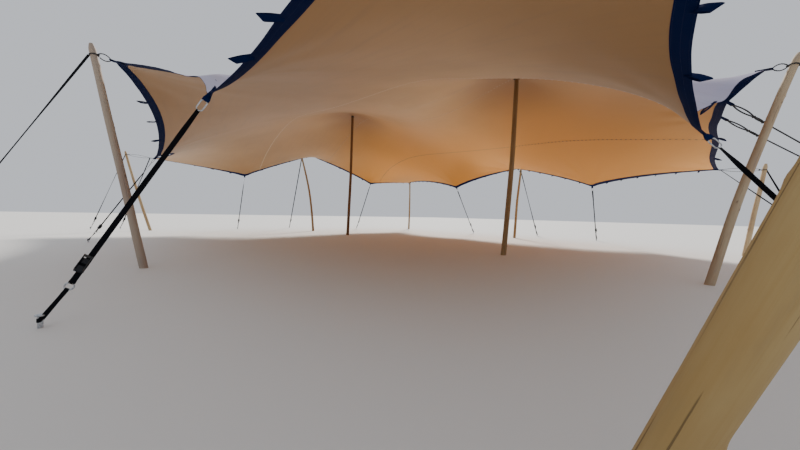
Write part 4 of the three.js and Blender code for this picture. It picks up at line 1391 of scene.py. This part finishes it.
def ribbon(centres, wides, width, thick):  # webbing whose width turns from place to place
    ahead = unit(np.gradient(centres, axis=0))
    wides = unit(wides - (wides * ahead).sum(1)[:, None] * ahead)
    thin, outline, travel = np.cross(ahead, wides), flatOutline(width, thick), travelAlong(centres)
    points, faces = loft(np.stack([centres + a * wides + b * thin for a, b in outline], 1))
    return points, faces, np.stack([columns(a, b, travel) for a, b in outline], 1)


def twistedStrap(start, end, sideways, width, turn=0.0, atEnd=False):
    shares = np.linspace(0, 1, max(8, int(np.linalg.norm(end - start) / strapLook["spacing"])))
    late = ease(np.clip((shares - strapLook["twistFrom"]) / (1 - strapLook["twistFrom"]), 0, 1))
    spin = turn * (late if atEnd else np.sin(math.pi * shares) ** 2)
    wides = waysRound(sideways, np.cross(unit(end - start), sideways), spin)
    return ribbon(start + (end - start) * shares[:, None], wides, width, strapLook["thick"])


def plate(centre, axes, size):  # a plate with round ends
    (x, y, z), (length, height, thick) = axes, size
    turns = np.linspace(-math.pi / 2, math.pi / 2, 7)
    right = columns((length - height) / 2 + height / 2 * np.cos(turns), height / 2 * np.sin(turns))
    outline = np.concatenate([right, -right])
    return loft([[centre + a * x + b * z + side * thick / 2 * y for a, b in outline] for side in (-1, 1)])


def rodBetween(start, end, radius, sides=14):
    long, chamfer = np.linalg.norm(end - start), min(radius * 0.3, 0.002)
    profile = [(radius - chamfer, 0), (radius, chamfer), (radius, long - chamfer), (radius - chamfer, long)]
    return turned(profile, start, unit(end - start), sides)


def addRatchet(steel, webbing, base, run, sideways, face):  # base is the ratchet's lower end on the strap
    look = ratchetLook
    axes = (run, sideways, face)
    middle = base + run * look["length"] / 2 + sideways * look["lean"]

    def at(along, aside, out):
        return middle + run * along + sideways * aside + face * out

    for side in (-1, 1):
        for name in ("cheeks", "handles"):
            (along, aside, out), size = look[name]
            steel.add(*plate(at(along, side * aside, out), axes, size), look=1)
        aside, bolt = side * look["cheeks"][0][1], look["bolt"]
        for along in look["boltsAlong"]:
            steel.add(*rodBetween(at(along, aside, 0), at(along, aside + side * bolt, 0), bolt, 6), look=1)
        low, tooth = look["toothReach"]  # toothed wheels beside the spool
        reach = (low + tooth * (np.arange(2 * look["teeth"]) % 2))[:, None]
        wheel = at(look["spool"], side * look["wheelAside"], 0)
        wheel = wheel + reach * waysRound(run, face, turnsOf(2 * look["teeth"]))
        steel.add(*loft([wheel + s * sideways * look["wheelHalf"] for s in (-1, 1)]), look=1)
    for along, half, out, radius, sides, finish in look["rods"]:
        steel.add(*rodBetween(at(along, -half, out), at(along, half, out), radius, sides), look=finish)
    for name in ("pawl", "cover"):
        place, size, bevel = look[name]
        steel.add(*block(at(*place), axes, size, bevel), look=1)
    turns = np.linspace(0, 2 * math.pi * look["wound"], look["woundPlaces"])  # webbing wound on the spool
    reach = look["woundFrom"] + look["woundPitch"] * turns / (2 * math.pi)
    path = columns(reach * np.cos(turns), 0, reach * np.sin(turns))
    points, faces, places = foldedWebbing(path, look["woundWidth"], look["woundThick"], acrossCount=2)
    webbing.add(placed(points, at(look["spool"], 0, 0), *axes), faces, places)


def addStrapRun(steel, webbing, start, stake, turn, roll=0.0, atEnd=False):
    look = strapLook
    eye = np.array([*stake, stakeLook["eye"]])
    flat = unit((start - eye) * (1, 1, 0))
    low = eye + flat * look["slingRadius"]
    run = unit(start - low)
    sideways = levelAcross(run, roll)
    face = np.cross(run, sideways)
    base, hook = low + run * look["ratchet"], low + run * look["hook"]
    width = look["width"]
    webbing.add(*twistedStrap(base + run * ratchetLook["length"] / 2, start, sideways, width, turn, atEnd))
    above, below = look["lower"]
    webbing.add(*twistedStrap(hook + run * above, base - run * below, sideways, width * look["lowerWidth"]))
    tail = [hook + run * along + face * look["tailLift"] for along in look["tail"]]
    webbing.add(*twistedStrap(*tail, sideways, width * look["tailWidth"]))
    half = np.linspace(0, math.pi, look["bends"])
    bend = columns(look["foldAt"] - look["fold"] * np.sin(half), 0, look["fold"] * np.cos(half))
    fold = [look["foldEnds"][0], *bend, look["foldEnds"][1]]
    points, faces, places = foldedWebbing(fold, width * look["lowerWidth"], look["thick"], acrossCount=3)
    webbing.add(placed(points, hook, run, sideways, face), faces, places)
    addRatchet(steel, webbing, base, run, sideways, face)
    ring = hook + look["hookRadius"] * waysRound(run, sideways, turnsOf(look["ringCorners"]))
    addDrawn(steel, "ring", [ring], True)
    # The sling, a closed loop: from the ring, its width turning upright, round the stake and back
    around, aside = stakeLook["radius"] + look["slingGap"], np.cross(up, flat)
    top, apart = hook - run * look["slingTop"], look["slingApart"]
    shares = np.linspace(*look["slingRun"])[:, None]
    centres, wides = [], []
    for side, way in ((1, sideways), (-1, sideways * math.copysign(1, sideways @ up or 1))):
        begin = eye + side * aside * around
        centres.append(begin + (top + side * face * apart - begin) * shares)
        wides.append(way * shares + up * (1 - shares))
    bend = eye + around * waysRound(aside, -flat, np.linspace(0, math.pi, look["slingBends"]))
    centres = np.concatenate([centres[0], bend, centres[1][::-1]])
    wides = np.concatenate([wides[0], np.tile(up, (len(bend), 1)), wides[1][::-1]])
    sling = (look["slingWidth"], look["slingThick"])
    webbing.add(*ribbon(centres, wides, *sling))
    webbing.add(*ribbon(top + apart * waysRound(face, run, half), np.tile(sideways, (len(half), 1)), *sling))


dressing = {
    "webbing": ("strap_webbing", [strapWebbing]), "rope": ("dark_rope", [darkRope]),
    "fittings": ("galvanised_steel", [bareSteel, darkSteel, blackRubber]),
}


def dress(node, **heaps):
    for kind, heap in heaps.items():
        slot, materials = dressing[kind]
        put(heap.piece(f"{node}_{kind}", materials), slot, node)


# Guys: a doubled rope from the rim to a winding round the pole, then a strap
def towards(collar, target):
    side = target - collar["centre"]
    side = side - side @ collar["axis"] * collar["axis"]
    return collar["centre"] + unit(side) * (collar["radius"] + collarLook["hold"])


def collarWinding(collar, start):
    radius = collar["radius"] + collarLook["rope"] + collarLook["gap"]
    turns = np.linspace(0, 2 * math.pi * collarLook["turns"], collarLook["corners"] * collarLook["turns"])
    high = (turns / (2 * math.pi) - collarLook["turns"] / 2) * collarLook["pitch"]
    ways = waysRound(*across(collar["axis"]), turns + start)
    return collar["centre"] + high[:, None] * collar["axis"] + radius * ways


knotLook = {"turns": 2.3, "places": 46, "wobble": (0.72, 0.28, 1.5, 0.6), "rise": (0.62, 0.75)}


def ropeKnot(centre, axis, size):  # a lump of rope wound on itself
    turns = np.linspace(0, 2 * math.pi * knotLook["turns"], knotLook["places"])
    (steady, swing, pace, phase), (rise, risePace) = knotLook["wobble"], knotLook["rise"]
    reach = size * (steady + swing * np.sin(turns * pace + phase))
    high = size * rise * np.sin(turns * risePace)
    return centre + high[:, None] * axis + reach[:, None] * waysRound(*across(axis), turns)


def bowedRopes(start, end, aside, look):  # two ropes between the same ends, a little apart
    shares = np.linspace(0, 1, look["places"])[:, None]
    bow = aside * np.sin(math.pi * shares) ** look["fullness"]
    return [start + (end - start) * shares + side * bow for side in (-1, 1)]


guyLook = {"spread": 0.046, "fullness": 0.7, "places": 24, "knot": 0.012, "knotBack": 0.07, "turn": 0.5}
for number, (name, _, _, stake, _) in enumerate(rimPoles):
    steel, webbing, rope = Heap(), Heap(), Heap()
    collar, link = collars[name], linkOf(name)
    near = towards(collar, link["far"])
    addDrawn(rope, "thinRope", [collarWinding(collar, number)])
    addDrawn(rope, "rope", bowedRopes(link["near"], near, guyLook["spread"] * up, guyLook))
    knot = near - guyLook["knotBack"] * (near - link["near"])
    addDrawn(rope, "thinRope", [ropeKnot(knot, link["pull"], guyLook["knot"])])
    begin, roll = towards(collar, np.array([*stake, 0.0])), math.radians(rolls.get(name, 0))
    addStrapRun(steel, webbing, begin, stake, (-1) ** number * guyLook["turn"], roll)
    dress(f"guy_{name}", webbing=webbing, fittings=steel, rope=rope)

# Ties: a link in the tongue, then a strap that turns flat at its upper end
tieLook = {"turns": {"south_right": 0.95, "east_left": 1.45}, "otherTurns": 0.9, "inLink": 0.004}


def stadium(link):
    turns = turnsOf(linkLook["corners"]) + math.pi / linkLook["corners"]
    ring = linkLook["radius"] * waysRound(link["pull"], link["level"], turns)
    return link["centre"] + ring + np.sign(np.cos(turns))[:, None] * link["pull"] * linkLook["straight"] / 2


for name, stake in tieStakes.items():
    steel, webbing = Heap(), Heap()
    link = linkOf(name)
    addDrawn(steel, "bar", [stadium(link)], True)
    start = link["far"] - link["pull"] * tieLook["inLink"]
    turn = tieLook["turns"].get(name, tieLook["otherTurns"])
    addStrapRun(steel, webbing, start, stake, turn, link["roll"], True)
    dress(f"tie_{name}", webbing=webbing, fittings=steel)

cornerLook = {"below": 0.0075, "reach": 0.045, "turn": 0.4}
for name, stake in cornerStakes.items():
    steel, webbing = Heap(), Heap()
    pull = pullFrom(name)
    level = levelAcross(pull)
    inner = tips[name] + np.cross(level, pull) * cornerLook["below"]
    outer = inner + pull * cornerLook["reach"]
    webbing.add(*twistedStrap(inner, outer, level, strapLook["width"]))
    addStrapRun(steel, webbing, outer, stake, cornerLook["turn"])
    dress(f"corner_strap_{name}", webbing=webbing, fittings=steel)

# Side ropes: two doubled loops held by knots, then a single rope to their stake
sideRopeLook = {
    "loops": ((0.0, 0.36, 0.042), (0.36, 0.52, 0.0189)), "fullness": 0.8, "places": 34, "spacing": 0.012,
    "knots": ((0.0, 0.014), (0.36, 0.018), (0.52, 0.020)), "lastKnot": (0.10, 0.016),
    "ring": 0.0225, "ringCorners": 26,
}


def addLoopRope(rope, start, end, level):
    run, long = unit(end - start), np.linalg.norm(end - start)
    for begin, finish, spread in sideRopeLook["loops"]:
        ropes = bowedRopes(start + run * begin, start + run * finish, spread * level, sideRopeLook)
        addDrawn(rope, "thickRope", ropes)
    back, size = sideRopeLook["lastKnot"]
    for place, size in (*sideRopeLook["knots"], (long - back, size)):
        addDrawn(rope, "rope", [ropeKnot(start + run * place, run, size)])
    single = start + run * sideRopeLook["loops"][-1][1]
    count = int(np.linalg.norm(end - single) / sideRopeLook["spacing"]) + 1
    addDrawn(rope, "thickRope", [np.linspace(single, end, count)])


for number, name in enumerate(sideRopes):
    rope, link = Heap(), linkOf(name)
    eye = np.array([*sideRopeStake, stakeLook["eye"] + number * stakeLook["spacing"]])
    flat = unit((link["far"] - eye) * (1, 1, 0))
    addLoopRope(rope, link["near"], eye + flat * sideRopeLook["ring"], link["level"])
    turns = turnsOf(sideRopeLook["ringCorners"])
    ring = eye + sideRopeLook["ring"] * waysRound(flat, np.cross(up, flat), turns)
    addDrawn(rope, "rope", [ring], True)
    dress(f"side_rope_{name}", rope=rope)
for outline, _ in outlines.values():
    bpy.data.objects.remove(outline)
print("stage: straps and ropes")

# Floor, light and air
sun = {"energy": 4.6, "color": (1.0, 0.96, 0.90), "angle": math.radians(10)}
glow = {
    "energy": 55.0, "color": (1.0, 0.62, 0.26), "shape": "RECTANGLE", "size": 8, "size_y": 1.2,
    "spread": math.radians(56),
}
studio = {
    "floor": ("e4e2de", "d4d2ce", 0.15), "floorClouds": (0.4, 3.0), "floorSize": (160, 160, 0.1),
    "floorBevel": 0.01, "floorRough": 0.85, "air": "eef2fa", "airStrength": 0.75,
    "lights": (  # name, kind, settings, place and what it shines at
        ("soft_sun", "SUN", sun, (-14, 13, 13.5), (0, 0, 0)),
        ("back_glow_left", "AREA", glow, (-6.2, 7.4, 0.25), (-1.5, 1.2, 4.1)),
        ("back_glow_right", "AREA", glow, (4.0, 9.4, 0.25), (3.6, 1.6, 4.2)),
    ),
}


def makeStage():
    size = studio["floorSize"]
    points, faces = block(-up * size[2] / 2, np.eye(3), size, studio["floorBevel"])
    material, wire = startFinish("stage_floor")
    light, dark, blend = studio["floor"]
    clouds = noise(wire, objectPlace(wire), *studio["floorClouds"])
    links = {"Base Color": (clouds * blend).blend(light, dark)}
    finishWith(material, wire, links, {"Roughness": studio["floorRough"]})
    floor = Heap().add(points, faces).piece("stage_floor", [material], False)
    floor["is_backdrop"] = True


def makeLight(name, kind, look, place, target):
    light = bpy.data.lights.new(name, kind)
    for setting, value in look.items():
        setattr(light, setting, value)
    z = unit(np.subtract(place, target))
    x = unit(np.cross(up, z))
    stand(name, light, place, (x, np.cross(z, x), z)).visible_camera = False


def makeAir():
    world = bpy.data.worlds.new("studio_air")
    world.use_nodes = True
    sky = world.node_tree.nodes["Background"]
    sky.inputs["Color"].default_value = paint(studio["air"])
    sky.inputs["Strength"].default_value = studio["airStrength"]
    bpy.context.scene.world = world


makeStage()
makeAir()
for light in studio["lights"]:
    makeLight(*light)
print("stage: studio")

lists = [[list(corner) for corner in bounds] for bounds in (cadBounds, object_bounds())]
